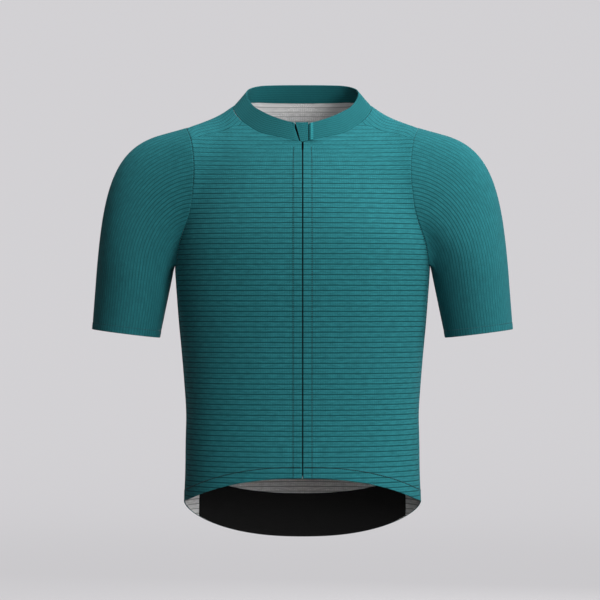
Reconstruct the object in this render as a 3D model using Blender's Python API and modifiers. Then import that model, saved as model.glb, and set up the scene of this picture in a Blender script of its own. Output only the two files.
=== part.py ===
"""A short-sleeved cycling jersey filled out as it is worn, with no wearer: two fronts, a back that wraps over
the shoulders, two set-in sleeves, a stand collar, a full zip with its garage, a hem gripper and back pockets.

Metres, +Z up, the front faces -Y and the wearer's left is +X. The origin is the middle of the shoulder line,
where the wearer carries it. Sizes are written in millimetres. Every cloth piece is a wall lofted between an
outer and an inner grid of points, because its edges follow the seams and no primitive has that shape."""

import math

import bmesh
import bpy
import numpy as np
from mathutils import Matrix

MM = 0.001

# Thicknesses and gaps
WALL = 1.2
COLLAR_WALL = 1.6
TRIM_WALL = 1.0
SEAM_GAP = 0.36
LAYER_GAP = 0.4

# Hem, side seam and zip
FRONT_HEM_CENTRE = -497.4
BACK_HEM_CENTRE = -596.0
HEM_SIDE = -533.0
UNDERARM_HEIGHT = -206.5
BACK_UNDERARM_HEIGHT = -208.0
SIDE_SEAM_ANGLE = math.radians(80.0)
GRIPPER_HEIGHT = 63.2
ZIP_OPENING = 2.0
SQUARENESS = 2.3
FLATTEST_RATIO = 0.75

# How many steps each stretch of a panel has
GRIPPER_STEPS = 3
SIDE_STEPS = 13
FRONT_ARMHOLE_STEPS = (11, 7)
BACK_ARMHOLE_STEPS = (14, 12)
HALF_COLUMNS = 10
TRIM_COLUMNS = 6
GRIPPER_REACH = 0.25
CAP_STEPS = 9
CUFF_STEPS = 3
COLLAR_STEPS = 3
POCKET_ROWS = (2, 8)
CURVE_STEPS = 40
ARMHOLE_FINE_STEPS = 400
EASE_REACH = 5
EASE_PASSES = 16

# Level sections of the body: height, half width, depth in front of and behind the middle
BODY_COLUMNS = ("height", "half_width", "front", "back")
BODY = (
    (-600.0, 167.0, 104.0, 113.5),
    (-560.0, 166.3, 103.5, 108.5),
    (-526.0, 165.9, 103.0, 103.5),
    (-493.0, 164.5, 101.5, 98.5),
    (-450.0, 163.6, 100.0, 92.0),
    (-410.0, 162.4, 99.5, 87.5),
    (-369.0, 164.5, 101.0, 87.0),
    (-325.0, 168.0, 105.0, 92.0),
    (-291.0, 171.5, 109.5, 98.5),
    (-257.6, 174.5, 114.0, 105.0),
    (-212.8, 177.8, 117.5, 111.5),
    (-150.0, 178.5, 113.0, 113.5),
    (-100.0, 178.0, 99.0, 106.5),
    (-65.0, 177.0, 83.0, 95.0),
    (-38.3, 176.0, 68.0, 84.0),
    (0.0, 175.0, 45.0, 65.5),
    (25.6, 174.0, 30.0, 52.0),
)

# The neck seam and the collar's top edge on the wearer's left, from the middle of the back to the front
NECK_COLUMNS = ("seam_x", "seam_y", "seam_z", "edge_x", "edge_y", "edge_z")
NECK = (
    (0.0, 52.0, 24.7, 0.0, 37.0, 49.0),
    (38.0, 49.5, 25.0, 35.0, 35.0, 48.6),
    (70.0, 38.5, 25.0, 61.0, 27.0, 46.7),
    (90.0, 18.5, 21.5, 74.6, 12.5, 41.8),
    (97.3, 0.0, 14.7, 78.8, -1.0, 35.6),
    (92.0, -15.5, 3.0, 74.6, -13.5, 22.5),
    (80.5, -29.0, -9.0, 66.0, -26.5, 12.5),
    (60.5, -47.5, -22.4, 50.0, -40.5, 3.0),
    (30.9, -61.5, -30.5, 27.0, -53.5, -6.5),
    (14.5, -66.6, -34.6, 13.0, -57.8, -10.4),
    (0.0, -68.0, -38.3, 0.0, -59.0, -11.1),
)
NECK_SHOULDER = 6

# The armhole on the wearer's left, from the underarm up the front, over the shoulder and down the back
ARMHOLE_COLUMNS = ("x", "y", "z")
ARMHOLE = (
    (174.4, -33.5, -196.0),
    (171.6, -40.5, -180.0),
    (166.4, -47.5, -163.6),
    (160.6, -54.0, -148.6),
    (154.9, -58.0, -129.1),
    (151.6, -57.5, -104.7),
    (149.8, -54.0, -80.5),
    (150.8, -46.0, -55.9),
    (154.9, -34.0, -33.0),
    (160.3, -17.0, -19.5),
    (162.4, 2.0, -14.7),
    (160.3, 23.0, -21.0),
    (155.8, 42.0, -38.0),
    (151.8, 56.0, -62.0),
    (150.0, 64.0, -90.0),
    (151.0, 66.5, -118.0),
    (155.2, 63.0, -145.0),
    (162.0, 53.0, -168.0),
    (169.5, 39.0, -187.0),
    (175.0, 21.0, -199.5),
    (177.6, -2.0, -205.2),
)
FRONT_CORNER = 6
SHOULDER_CORNER = 9
BACK_CORNER = 14

# How the rows of a panel run, at its hem, underarm, neck corner, shoulder ridge (back only) and shoulder seam
SHAPING_COLUMNS = ("bow", "straight", "crown_y", "crown_z")
FRONT_SHAPING = (
    (1.6, 0.0, 0.0, 0.0),
    (1.6, 0.0, 0.0, 0.0),
    (1.6, 0.0, 0.0, 0.0),
    (1.6, 1.0, 0.0, 0.0),
)
BACK_SHAPING = (
    (1.55, 0.0, 0.0, 0.0),
    (1.5, 0.0, 0.0, 0.0),
    (1.5, 0.2, 8.0, 2.0),
    (1.5, 1.0, 0.0, -2.5),
    (1.5, 1.0, 0.0, 0.0),
)
RIDGE_STEPS = 7

# Sections of the arm that a sleeve ends on: centre, half width, half depth and lean from the vertical
ARM_COLUMNS = ("x", "y", "z", "half_width", "half_depth", "lean")
ARM = (
    (235.0, 1.0, -216.0, 53.2, 58.0, 9.0),
    (246.8, -1.0, -301.0, 47.7, 51.0, 7.2),
)
ARMHOLE_LEAN = 0.6

# How a sleeve leaves the armhole and lands on the arm, at its top, at front and back, and underneath
CAP_DROP = (0.10, 0.30, 0.0)
CAP_PULL = (300.0, 95.0, 7.0)
CAP_LAND = (360.0, 120.0, 10.0)
CAP_LEAN = (5.0, 9.0, 12.0)
TOP_FADE = 1.5
UNDER_FADE = 1.2

# Zip. A span or a top on the collar is a share of the way up it
TAPE = (3.1, 14.0)
TAPE_TOP = 0.86
TAPE_CURL = 0.7
CHAIN_HALF_WIDTH = 2.7
CHAIN_THICKNESS = 1.2
CHAIN_STEPS = 34
CHAIN_ABOVE_HEM = 3.0
CHAIN_BELOW_NECK = 4.0
CHAIN_ON_COLLAR = (0.05, 0.10)
SLIDER_SPAN = (0.13, 0.42)
SLIDER_WIDTH = 5.4
SLIDER_THICKNESS = 2.0
PULL_SPAN = (0.45, 0.84)
PULL_WIDTH = 4.0
PULL_THICKNESS = 1.2
EDGE_ROUNDING = 0.3

# Where the collar's ends stand, and the tab and the turned strip between and beside them
COLLAR_ENDS = ((9.2, 9.2), (4.3, 13.3))
COLLAR_FRONT_STEPS = 4
GARAGE_OUTLINE = ((-2.7, 7.9), (-10.7, 7.9))
GARAGE_SPAN = (0.03, 1.04)
GARAGE_COLUMNS = 5
GARAGE_PROUD = 0.5
GARAGE_WALL = 2.2
FOLD_WIDTH = (10.9, 14.6)
FOLD_SPAN = (0.02, 0.99)

TEAL = (0.022, 0.158, 0.178, 1.0)
SLEEVE_TEAL = (0.020, 0.150, 0.170, 1.0)
COLLAR_TEAL = (0.026, 0.172, 0.190, 1.0)
BLACK = (0.006, 0.006, 0.006, 1.0)
DARK = (0.012, 0.020, 0.022, 1.0)


def table(columns, rows):
    """A short table as one array for each named column."""
    return dict(zip(columns, np.array(rows, float).T))


def points_of(columns, names):
    """The points whose coordinates stand in the named columns."""
    return np.stack([columns[name] for name in names], axis=-1)


def unit(vectors):
    return vectors / np.linalg.norm(vectors, axis=-1, keepdims=True)


def hermite(start, end, leave, arrive, t):
    """A cubic from start to end that leaves and arrives along the given tangents."""
    return (
        (2 * t**3 - 3 * t**2 + 1) * start
        + (t**3 - 2 * t**2 + t) * leave
        + (3 * t**2 - 2 * t**3) * end
        + (t**3 - t**2) * arrive
    )


def smooth(knots, values, at):
    """A smooth curve through values at knots, read at each place in at."""
    slopes = np.gradient(values, knots, axis=0)
    cell = np.clip(np.searchsorted(knots, at) - 1, 0, len(knots) - 2)
    step = knots[cell + 1] - knots[cell]
    t = (at - knots[cell]) / step
    if values.ndim > 1:
        step, t = step[:, None], t[:, None]
    return hermite(values[cell], values[cell + 1], slopes[cell] * step, slopes[cell + 1] * step, t)


def along(points, count):
    """The smooth curve through the points, as count even steps."""
    points = np.array(points, float)
    knots = np.concatenate([[0.0], np.cumsum(np.linalg.norm(np.diff(points, axis=0), axis=1))])
    fine = smooth(knots, points, np.linspace(0.0, knots[-1], CURVE_STEPS * len(points)))
    run = np.concatenate([[0.0], np.cumsum(np.linalg.norm(np.diff(fine, axis=0), axis=1))])
    even = np.linspace(0.0, run[-1], count + 1)
    return np.stack([np.interp(even, run, fine[:, axis]) for axis in range(3)], axis=-1)


def signed_power(value, power):
    return np.sign(value) * np.abs(value) ** power


body = table(BODY_COLUMNS, BODY)


def body_size(name, height):
    return smooth(body["height"], body[name], np.atleast_1d(np.array(height, float)))


def centre_line(side, heights):
    """Points down the middle of the front or the back of the body."""
    depth = body_size(side, heights) * (-1.0 if side == "front" else 1.0)
    return np.stack([np.zeros(len(depth)), depth, heights], axis=-1)


def side_seam(heights):
    """Points on the side seam, which lies a little in front of the widest place."""
    x = body_size("half_width", heights) * signed_power(math.sin(SIDE_SEAM_ANGLE), 2 / SQUARENESS)
    y = -body_size("front", heights) * signed_power(math.cos(SIDE_SEAM_ANGLE), 2 / SQUARENESS)
    return np.stack([x, y, heights], axis=-1)


def row(inner, outer, bow, straight, crown, columns):
    """One row of a panel, an arc of a squared ellipse from its inner to its outer edge. bow shapes how it
    climbs or falls as it goes round, straight is the share of it that climbs evenly instead, and crown lifts
    its middle along Y and Z."""
    ratio = min(outer[1] / inner[1], FLATTEST_RATIO)
    sweep = math.acos(signed_power(ratio, SQUARENESS / 2))
    angles = np.linspace(0.0, sweep, columns + 1)
    sine = signed_power(np.sin(angles), 2 / SQUARENESS)
    cosine = signed_power(np.cos(angles), 2 / SQUARENESS)
    across = sine / sine[-1]
    depth = (cosine - cosine[-1]) / (1.0 - cosine[-1])
    lift = 4 * (angles / sweep) * (1 - angles / sweep)
    x = inner[0] + (outer[0] - inner[0]) * across
    y = outer[1] + (inner[1] - outer[1]) * depth + crown[0] * lift
    climb = (1.0 - straight) * (1.0 - depth**bow) + straight * np.minimum(across, 1.0)
    z = inner[2] + (outer[2] - inner[2]) * climb + crown[1] * lift
    return np.stack([x, y, z], axis=-1)


def half_panel(inner, outer, corners, shaping):
    """A grid of rows, each from a point on the inner edge to its fellow on the outer edge. The shaping table
    gives each row's form at the rows numbered in corners."""
    form = table(SHAPING_COLUMNS, shaping)
    rows = np.arange(len(inner))
    bow, straight, crown_y, crown_z = (np.interp(rows, corners, form[name]) for name in SHAPING_COLUMNS)
    crown = np.stack([crown_y, crown_z], axis=-1)
    return np.array([row(inner[i], outer[i], bow[i], straight[i], crown[i], HALF_COLUMNS) for i in rows])


def eased(grid, corner):
    """The grid with the fold that starts at its neck corner spread over the rows near it. Its edges stay."""
    rows, columns = np.arange(len(grid)), np.arange(grid.shape[1])
    near = np.clip(1.5 - np.abs(rows - corner) / EASE_REACH, 0.0, 1.0)
    inside = np.clip(np.minimum(columns / 2, (columns[-1] - columns) / 3), 0.0, 1.0)
    weight = 0.5 * near[1:-1, None, None] * inside[None, :, None]
    for _ in range(EASE_PASSES):
        grid[1:-1] += weight * ((grid[:-2] + grid[2:]) / 2 - grid[1:-1])
    return grid


def side_fractions():
    """Where the rows below the underarm lie: the gripper's rows first, then even ones."""
    band = GRIPPER_HEIGHT / (BACK_UNDERARM_HEIGHT - BACK_HEM_CENTRE)
    low = np.linspace(0.0, band, GRIPPER_STEPS + 1)
    return np.concatenate([low, np.linspace(band, 1.0, SIDE_STEPS + 1)[1:]])


def armhole_parts():
    """The armhole as four runs of points: up the front, to the shoulder seam, over the top, down the back."""
    start = side_seam(np.array([UNDERARM_HEIGHT]))
    loop = np.concatenate([start, np.array(ARMHOLE), start])
    whole = along(loop, ARMHOLE_FINE_STEPS)
    corners = [nearest(whole, loop[i]) for i in (FRONT_CORNER, SHOULDER_CORNER, BACK_CORNER)]
    marks = [0, *corners, ARMHOLE_FINE_STEPS]
    counts = (*FRONT_ARMHOLE_STEPS, BACK_ARMHOLE_STEPS[1], BACK_ARMHOLE_STEPS[0])
    return [whole[np.linspace(a, b, n + 1).round().astype(int)] for a, b, n in zip(marks, marks[1:], counts)]


def nearest(points, place):
    return int(np.argmin(np.linalg.norm(points - place, axis=1)))


def front_half():
    """The wearer's left front, its edges, and how many of its rows lie below the underarm."""
    neck = table(NECK_COLUMNS, NECK)
    seam = points_of(neck, NECK_COLUMNS[:3])
    fractions = side_fractions()
    low = FRONT_HEM_CENTRE + (UNDERARM_HEIGHT - FRONT_HEM_CENTRE) * fractions
    high = np.linspace(UNDERARM_HEIGHT, seam[-1][2], FRONT_ARMHOLE_STEPS[0] + 1)[1:]
    middle = centre_line("front", np.concatenate([low, high]))
    front_neck = along(seam[NECK_SHOULDER:], FRONT_ARMHOLE_STEPS[1])[::-1]
    inner = np.concatenate([middle, front_neck[1:]])
    sides = side_seam(HEM_SIDE + (UNDERARM_HEIGHT - HEM_SIDE) * fractions)
    parts = armhole_parts()
    outer = np.concatenate([sides, parts[0][1:], parts[1][1:]])
    corners = (0, len(sides) - 1, len(middle) - 1, len(inner) - 1)
    return eased(half_panel(inner, outer, corners, FRONT_SHAPING), len(middle) - 1), len(sides)


def back_half():
    """The wearer's left half of the back, which goes over the shoulder to the seam in front of it."""
    neck = table(NECK_COLUMNS, NECK)
    seam = points_of(neck, NECK_COLUMNS[:3])
    fractions = side_fractions()
    low = BACK_HEM_CENTRE + (BACK_UNDERARM_HEIGHT - BACK_HEM_CENTRE) * fractions
    high = np.linspace(BACK_UNDERARM_HEIGHT, seam[0][2], BACK_ARMHOLE_STEPS[0] + 1)[1:]
    middle = centre_line("back", np.concatenate([low, high]))
    inner = np.concatenate([middle, along(seam[: NECK_SHOULDER + 1], BACK_ARMHOLE_STEPS[1])[1:]])
    sides = side_seam(HEM_SIDE + (UNDERARM_HEIGHT - HEM_SIDE) * fractions)
    parts = armhole_parts()
    outer = np.concatenate([sides, parts[3][::-1][1:], parts[2][::-1][1:]])
    corners = (0, len(sides) - 1, len(middle) - 1, len(middle) + RIDGE_STEPS, len(inner) - 1)
    return eased(half_panel(inner, outer, corners, BACK_SHAPING), len(middle) - 1), len(sides)


def arm_ring(station, angles):
    """One section of the arm. Angle 0 is its outer side and a quarter turn its front."""
    lean = math.radians(station["lean"])
    side = np.array([math.cos(lean), 0.0, math.sin(lean)])
    centre = np.array([station["x"], station["y"], station["z"]])
    front = np.array([0.0, -1.0, 0.0])
    across = np.cos(angles)[:, None] * station["half_width"] * side
    return centre + across + np.sin(angles)[:, None] * station["half_depth"] * front


def round_armhole(loop):
    """For each armhole point, its angle round the hole and its direction away from the hole's middle."""
    centre = (loop.max(axis=0) + loop.min(axis=0)) / 2
    half = (loop.max(axis=0) - loop.min(axis=0)) / 2
    offset = (loop - centre) / half
    angles = np.unwrap(np.arctan2(-offset[:, 1], offset[:, 2]))
    radial = unit(np.stack([np.zeros(len(loop)), offset[:, 1] / half[1], offset[:, 2] / half[2]], axis=-1))
    return angles, radial


def by_angle(values, angles):
    """A value that goes from the first at the top of the armhole, by the second, to the third underneath."""
    top = np.maximum(np.cos(angles), 0.0) ** TOP_FADE
    under = np.maximum(-np.cos(angles), 0.0) ** UNDER_FADE
    return values[1] + (values[0] - values[1]) * top + (values[2] - values[1]) * under


def sleeve_grid():
    """The wearer's left sleeve: a column for each armhole point, from the armhole to the cuff."""
    parts = armhole_parts()
    loop = np.concatenate([part[:-1] for part in parts])
    angles, radial = round_armhole(loop)
    arm = table(ARM_COLUMNS, ARM)
    upper, cuff = ({name: arm[name][i] for name in ARM_COLUMNS} for i in (0, 1))
    landing = arm_ring(upper, angles)
    lean = np.radians(by_angle(CAP_LEAN, angles))
    down = np.stack([np.sin(lean), np.zeros(len(lean)), -np.cos(lean)], axis=-1)
    drop = by_angle(CAP_DROP, angles)[:, None]
    leave = unit(np.array([1.0, 0.0, 0.0]) - drop * radial) * by_angle(CAP_PULL, angles)[:, None]
    arrive = down * by_angle(CAP_LAND, angles)[:, None]
    cap = [hermite(loop, landing, leave, arrive, t) for t in np.linspace(0.0, 1.0, CAP_STEPS + 1)]
    lower = []
    for t in np.linspace(0.0, 1.0, CUFF_STEPS + 1)[1:]:
        between = {name: upper[name] + (cuff[name] - upper[name]) * t for name in ARM_COLUMNS}
        lower.append(arm_ring(between, angles))
    rims = unit(radial + np.array([ARMHOLE_LEAN, 0.0, 0.0]))
    tangents = np.roll(loop, -1, axis=0) - np.roll(loop, 1, axis=0)
    return np.array(cap + lower), rims, unit(np.cross(tangents, rims))


def neck_half():
    """The neck seam and the collar's edge on the wearer's left, from the middle of the back to the front."""
    neck = table(NECK_COLUMNS, NECK)
    rings = []
    for names in (NECK_COLUMNS[:3], NECK_COLUMNS[3:]):
        ring = points_of(neck, names)
        back = along(ring[: NECK_SHOULDER + 1], BACK_ARMHOLE_STEPS[1])
        front = along(ring[NECK_SHOULDER:], FRONT_ARMHOLE_STEPS[1])
        rings.append(np.concatenate([back, front[1:]]))
    return rings


def collar_grid(ends):
    """Half the collar, whose front end stands at the given distances from the middle, low and high."""
    seam, edge = neck_half()
    seam[-1] += (seam[-2] - seam[-1]) * ends[0] / seam[-2][0]
    edge[-1] += (edge[-2] - edge[-1]) * ends[1] / edge[-2][0]
    heights = np.linspace(0.0, 1.0, COLLAR_STEPS + 1)
    return np.array([seam + (edge - seam) * t for t in heights])


def mirrored(grid):
    return grid * np.array([-1.0, 1.0, 1.0])


def grid_normals(grid, closed=False):
    """Unit normals of a grid of points, on the side away from the garment's inside."""
    down = np.gradient(grid, axis=0)
    if closed:
        wide = np.concatenate([grid[:, -1:], grid, grid[:, :1]], axis=1)
        across = np.gradient(wide, axis=1)[:, 1:-1]
    else:
        across = np.gradient(grid, axis=1)
    return unit(np.cross(across, down))


def pulled_in(grid, edges):
    """The grid with the named edges drawn back from their seams by half the seam gap."""
    grid = grid.copy()
    half = SEAM_GAP / 2
    if "first_row" in edges:
        grid[0] += unit(grid[1] - grid[0]) * half
    if "last_row" in edges:
        grid[-1] += unit(grid[-2] - grid[-1]) * half
    if "first_column" in edges:
        grid[:, 0] += unit(grid[:, 1] - grid[:, 0]) * half
    if "last_column" in edges:
        grid[:, -1] += unit(grid[:, -2] - grid[:, -1]) * half
    return grid


def cloth_material(name, colour, roughness):
    material = bpy.data.materials.new(name)
    material.use_nodes = True
    shader = material.node_tree.nodes["Principled BSDF"]
    shader.inputs["Base Color"].default_value = colour
    shader.inputs["Roughness"].default_value = roughness
    shader.inputs["Metallic"].default_value = 0.0
    material.diffuse_color = colour
    return material


def wall_object(name, outer, inner, material, collection, closed=False, open_rows=0):
    """A wall lofted between its outer and inner grids, with rims round its edges. The first open_rows cells of
    its first column have no rim, where a mirror image joins on."""
    rows, columns = outer.shape[:2]
    mesh = bmesh.new()
    faces = [[[mesh.verts.new(p * MM) for p in line] for line in grid] for grid in (outer, inner)]
    last = columns if closed else columns - 1
    for i in range(rows - 1):
        for j in range(last):
            k = (j + 1) % columns
            for side in faces:
                mesh.faces.new((side[i][j], side[i][k], side[i + 1][k], side[i + 1][j]))
    for i in (0, rows - 1):
        for j in range(last):
            k = (j + 1) % columns
            mesh.faces.new((faces[0][i][j], faces[0][i][k], faces[1][i][k], faces[1][i][j]))
    if not closed:
        for j in (0, columns - 1):
            for i in range(open_rows if j == 0 else 0, rows - 1):
                mesh.faces.new((faces[0][i][j], faces[0][i + 1][j], faces[1][i + 1][j], faces[1][i][j]))
    bmesh.ops.recalc_face_normals(mesh, faces=mesh.faces)
    data = bpy.data.meshes.new(name)
    mesh.to_mesh(data)
    mesh.free()
    data.shade_smooth()
    data.set_sharp_from_angle(angle=math.radians(50))
    data.materials.append(material)
    piece = bpy.data.objects.new(name, data)
    collection.objects.link(piece)
    return piece


def armhole_fellow(row_number, underarm_row, count, forward):
    """Which armhole point a panel row ends on, counted up the front or, for the back, the other way round."""
    step = row_number - underarm_row
    return step if forward else (count - step) % count


def along_armhole(values, row_count, underarm_row, forward):
    """The values of the armhole's points in the order in which a panel's rows end on them."""
    rows = range(underarm_row, row_count)
    return np.array([values[armhole_fellow(i, underarm_row, len(values), forward)] for i in rows])


def shared(first, second):
    return unit(first + second)


class Jersey:
    """The outer grids of the wearer's left half and their normals, which agree along every seam."""

    def __init__(self):
        self.front, rows_below = front_half()
        self.back, _ = back_half()
        self.sleeve, rims, self.out_of_armhole = sleeve_grid()
        self.underarm = rows_below - 1
        self.front_neck_row = self.underarm + FRONT_ARMHOLE_STEPS[0]
        self.back_neck_row = self.underarm + BACK_ARMHOLE_STEPS[0]
        self.collars = [collar_grid(ends) for ends in COLLAR_ENDS]
        self.front_normals = grid_normals(self.front)
        self.back_normals = -grid_normals(self.back)
        self.back_normals[: self.back_neck_row + 1, 0, 0] = 0.0
        self.back_normals = unit(self.back_normals)
        self.sleeve_normals = -grid_normals(self.sleeve, closed=True)
        self.sleeve_normals[0] = rims
        self.collar_normals = [-grid_normals(grid) for grid in self.collars]
        self.share_side_and_shoulder(rims)
        self.share_neck()

    def share_side_and_shoulder(self, rims):
        front, back = self.front_normals, self.back_normals
        below = slice(0, self.underarm)
        seam = shared(front[below, -1], back[below, -1])
        front[below, -1] = seam
        back[below, -1] = seam
        seam = shared(front[-1], back[-1])
        front[-1] = seam
        back[-1] = seam
        front[self.underarm :, -1] = along_armhole(rims, len(front), self.underarm, forward=True)
        back[self.underarm :, -1] = along_armhole(rims, len(back), self.underarm, forward=False)

    def share_neck(self):
        back = self.back_normals[self.back_neck_row :, 0]
        front = self.front_normals[self.front_neck_row :, 0][::-1]
        seam = np.concatenate([back, front[1:]])
        for normals in self.collar_normals:
            normals[:, 0, 0] = 0.0
            normals[:] = unit(normals)
            normals[0] = shared(normals[0], seam)
        seam = self.collar_normals[0][0]
        self.back_normals[self.back_neck_row :, 0] = seam[: BACK_ARMHOLE_STEPS[1] + 1]
        self.front_normals[self.front_neck_row :, 0] = seam[BACK_ARMHOLE_STEPS[1] :][::-1]


def both_faces(grid, normals, thickness, edges):
    """The outer and inner grids of a wall, drawn back from their seams."""
    return pulled_in(grid, edges), pulled_in(grid - normals * thickness, edges)


def panel_faces(jersey, grid, normals, edges, forward):
    """Both faces of a front or back, drawn back also from the side seam and the armhole."""
    faces = both_faces(grid, normals, WALL, edges)
    low = slice(0, jersey.underarm + 1)
    high = slice(jersey.underarm, None)
    outwards = along_armhole(jersey.out_of_armhole, len(grid), jersey.underarm, forward)
    for face in faces:
        face[low, -1] = pulled_in(face, ("last_column",))[low, -1]
        face[high, -1] -= outwards * SEAM_GAP / 2
    return faces


def add_fronts(jersey, collection, material):
    edges = ("last_row", "first_column")
    faces = panel_faces(jersey, jersey.front, jersey.front_normals, edges, forward=True)
    for grid in faces:
        grid[: jersey.front_neck_row + 1, 0, 0] = ZIP_OPENING / 2
    wall_object("front_left", *faces, material, collection)
    wall_object("front_right", *[mirrored(grid) for grid in faces], material, collection)


def add_back(jersey, collection, material):
    """Half the back, open at its middle below the neck, and its mirror image."""
    faces = panel_faces(jersey, jersey.back, jersey.back_normals, ("last_row",), forward=False)
    neck = slice(jersey.back_neck_row, None)
    for grid in faces:
        lowered = pulled_in(grid, ("first_column",))
        grid[neck, 0] = lowered[neck, 0]
        middle = grid[jersey.back_neck_row - 1, 0] - grid[jersey.back_neck_row, 0]
        grid[jersey.back_neck_row, 0] += unit(middle) * SEAM_GAP / 2
        grid[: jersey.back_neck_row + 1, 0, 0] = 0.0
    piece = wall_object("back", *faces, material, collection, open_rows=jersey.back_neck_row)
    mirror = piece.modifiers.new("other half", "MIRROR")
    mirror.merge_threshold = 0.00005


def add_sleeves(jersey, collection, material):
    faces = (jersey.sleeve.copy(), jersey.sleeve - jersey.sleeve_normals * WALL)
    for face in faces:
        face[0] += jersey.out_of_armhole * SEAM_GAP / 2
    wall_object("sleeve_left", *faces, material, collection, closed=True)
    wall_object("sleeve_right", *[mirrored(grid) for grid in faces], material, collection, closed=True)


def joined_halves(left, right):
    """One grid across the middle from two halves that start there."""
    return np.concatenate([mirrored(right)[:, :0:-1], left], axis=1)


def add_collar(jersey, collection, material):
    grid = joined_halves(*jersey.collars)
    normals = joined_halves(*jersey.collar_normals)
    wall_object("collar", *both_faces(grid, normals, COLLAR_WALL, ("first_row",)), material, collection)


def middle_of_back(jersey, first, last, reach=0.0):
    """The back's points and normals between two rows, out to a share of a column past the trims' last one."""
    rows = slice(first, last + 1)
    halves = []
    for grid in (jersey.back, jersey.back_normals):
        half = grid[rows, : TRIM_COLUMNS + 1].copy()
        half[:, -1] += (grid[rows, TRIM_COLUMNS + 1] - half[:, -1]) * reach
        halves.append(joined_halves(half, half))
    return halves


def add_gripper(jersey, collection, material):
    """The elastic band inside the back hem, on the back's own points moved in."""
    points, normals = middle_of_back(jersey, 0, GRIPPER_STEPS, GRIPPER_REACH)
    outer = points - normals * (WALL + LAYER_GAP)
    wall_object("hem_gripper", outer, outer - normals * TRIM_WALL, material, collection)


def add_pockets(jersey, collection, material):
    """The panel of the three back pockets, on the back's own points moved out."""
    points, normals = middle_of_back(jersey, *POCKET_ROWS)
    inner = points + normals * LAYER_GAP
    wall_object("back_pockets", inner + normals * WALL, inner, material, collection)


def collar_at(x, share):
    """The collar's outer face at a distance from the middle of the front, a share of the way up."""
    ends = []
    for ring in neck_half():
        front = ring[-COLLAR_FRONT_STEPS - 1 :][::-1]
        ends.append([np.interp(abs(x), front[:, 0], front[:, axis]) for axis in (1, 2)])
    low, high = np.array(ends)
    return np.array([x, *(low + (high - low) * share)])


def zip_rows(top):
    """Places down the zip: heights on the body, then shares of the way up the collar."""
    neck = table(NECK_COLUMNS, NECK)["seam_z"][-1]
    heights = np.linspace(FRONT_HEM_CENTRE + CHAIN_ABOVE_HEM, neck - CHAIN_BELOW_NECK, CHAIN_STEPS)
    shares = np.linspace(CHAIN_ON_COLLAR[0], top, COLLAR_STEPS + 1)
    return [("body", height) for height in heights] + [("collar", share) for share in shares]


def zip_grid(rows, across, depth_body, depth_collar):
    """Points behind the front edges, set in from the cloth's outer face."""
    grid = []
    for kind, place in rows:
        if kind == "body":
            depth = -body_size("front", place)[0]
            line = [np.array([x, depth + depth_body + TAPE_CURL * (x / TAPE[1]) ** 2, place]) for x in across]
        else:
            line = [collar_at(x, place) + np.array([0.0, depth_collar, 0.0]) for x in across]
        grid.append(line)
    return np.array(grid)


def strip_object(name, grid, thickness, material, collection):
    """A strip whose front face is the grid and which is as thick as given, towards the back."""
    back = grid + np.array([0.0, thickness, 0.0])
    return wall_object(name, grid, back, material, collection)


def add_zip(collection, tape_material, metal):
    body_depth = WALL + 2 * LAYER_GAP
    collar_depth = GARAGE_WALL + 2 * LAYER_GAP
    for name, sign in (("zip_tape_left", 1), ("zip_tape_right", -1)):
        across = [sign * x for x in (TAPE[0], sum(TAPE) / 2, TAPE[1])]
        grid = zip_grid(zip_rows(TAPE_TOP), across, body_depth, collar_depth)
        strip_object(name, grid, TRIM_WALL, tape_material, collection)
    across = [-CHAIN_HALF_WIDTH, CHAIN_HALF_WIDTH]
    grid = zip_grid(zip_rows(CHAIN_ON_COLLAR[1]), across, body_depth, collar_depth)
    strip_object("zip_chain", grid, CHAIN_THICKNESS, tape_material, collection)
    slider_size = (SLIDER_WIDTH, SLIDER_THICKNESS)
    pull_size = (PULL_WIDTH, PULL_THICKNESS)
    add_stowed_piece("zip_slider", SLIDER_SPAN, slider_size, collar_depth, metal, collection)
    add_stowed_piece("zip_pull", PULL_SPAN, pull_size, collar_depth, metal, collection)


def add_stowed_piece(name, span, size, depth, material, collection):
    """A small hard block of the given width and thickness behind the garage, along the collar's slope."""
    width, thickness = size
    low, high = collar_at(0.0, span[0]), collar_at(0.0, span[1])
    length = np.linalg.norm(high - low)
    centre = (low + high) / 2 + np.array([0.0, depth + thickness / 2, 0.0])
    lean = math.atan2(high[1] - low[1], high[2] - low[2])
    bpy.ops.mesh.primitive_cube_add(size=1.0, location=centre * MM)
    piece = bpy.context.object
    piece.name = name
    piece.data.name = name
    piece.data.transform(Matrix.Diagonal((width * MM, thickness * MM, length * MM, 1.0)))
    piece.rotation_euler = (-lean, 0.0, 0.0)
    bevel = piece.modifiers.new("rounded edges", "BEVEL")
    bevel.width = EDGE_ROUNDING * MM
    bevel.segments = 2
    piece.data.materials.append(material)
    for owner in piece.users_collection:
        owner.objects.unlink(piece)
    collection.objects.link(piece)


def add_garage(collection, material):
    """The folded tab that covers the zip's top end, in the opening between the collar's two ends."""
    outer = []
    for share in np.linspace(*GARAGE_SPAN, COLLAR_STEPS + 1):
        left, right = (low + (high - low) * share for low, high in zip(*GARAGE_OUTLINE))
        proud = np.array([0.0, -GARAGE_PROUD, 0.0])
        outer.append([collar_at(x, share) + proud for x in np.linspace(left, right, GARAGE_COLUMNS)])
    strip_object("zip_garage", np.array(outer), GARAGE_WALL, material, collection)


def add_garage_fold(collection, material):
    """The narrow turned strip on the collar beside the garage."""
    proud = np.array([0.0, -(LAYER_GAP + TRIM_WALL), 0.0])
    shares = np.linspace(*FOLD_SPAN, COLLAR_STEPS + 1)
    grid = np.array([[collar_at(x, share) + proud for x in FOLD_WIDTH] for share in shares])
    strip_object("garage_fold", grid, TRIM_WALL, material, collection)


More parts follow.
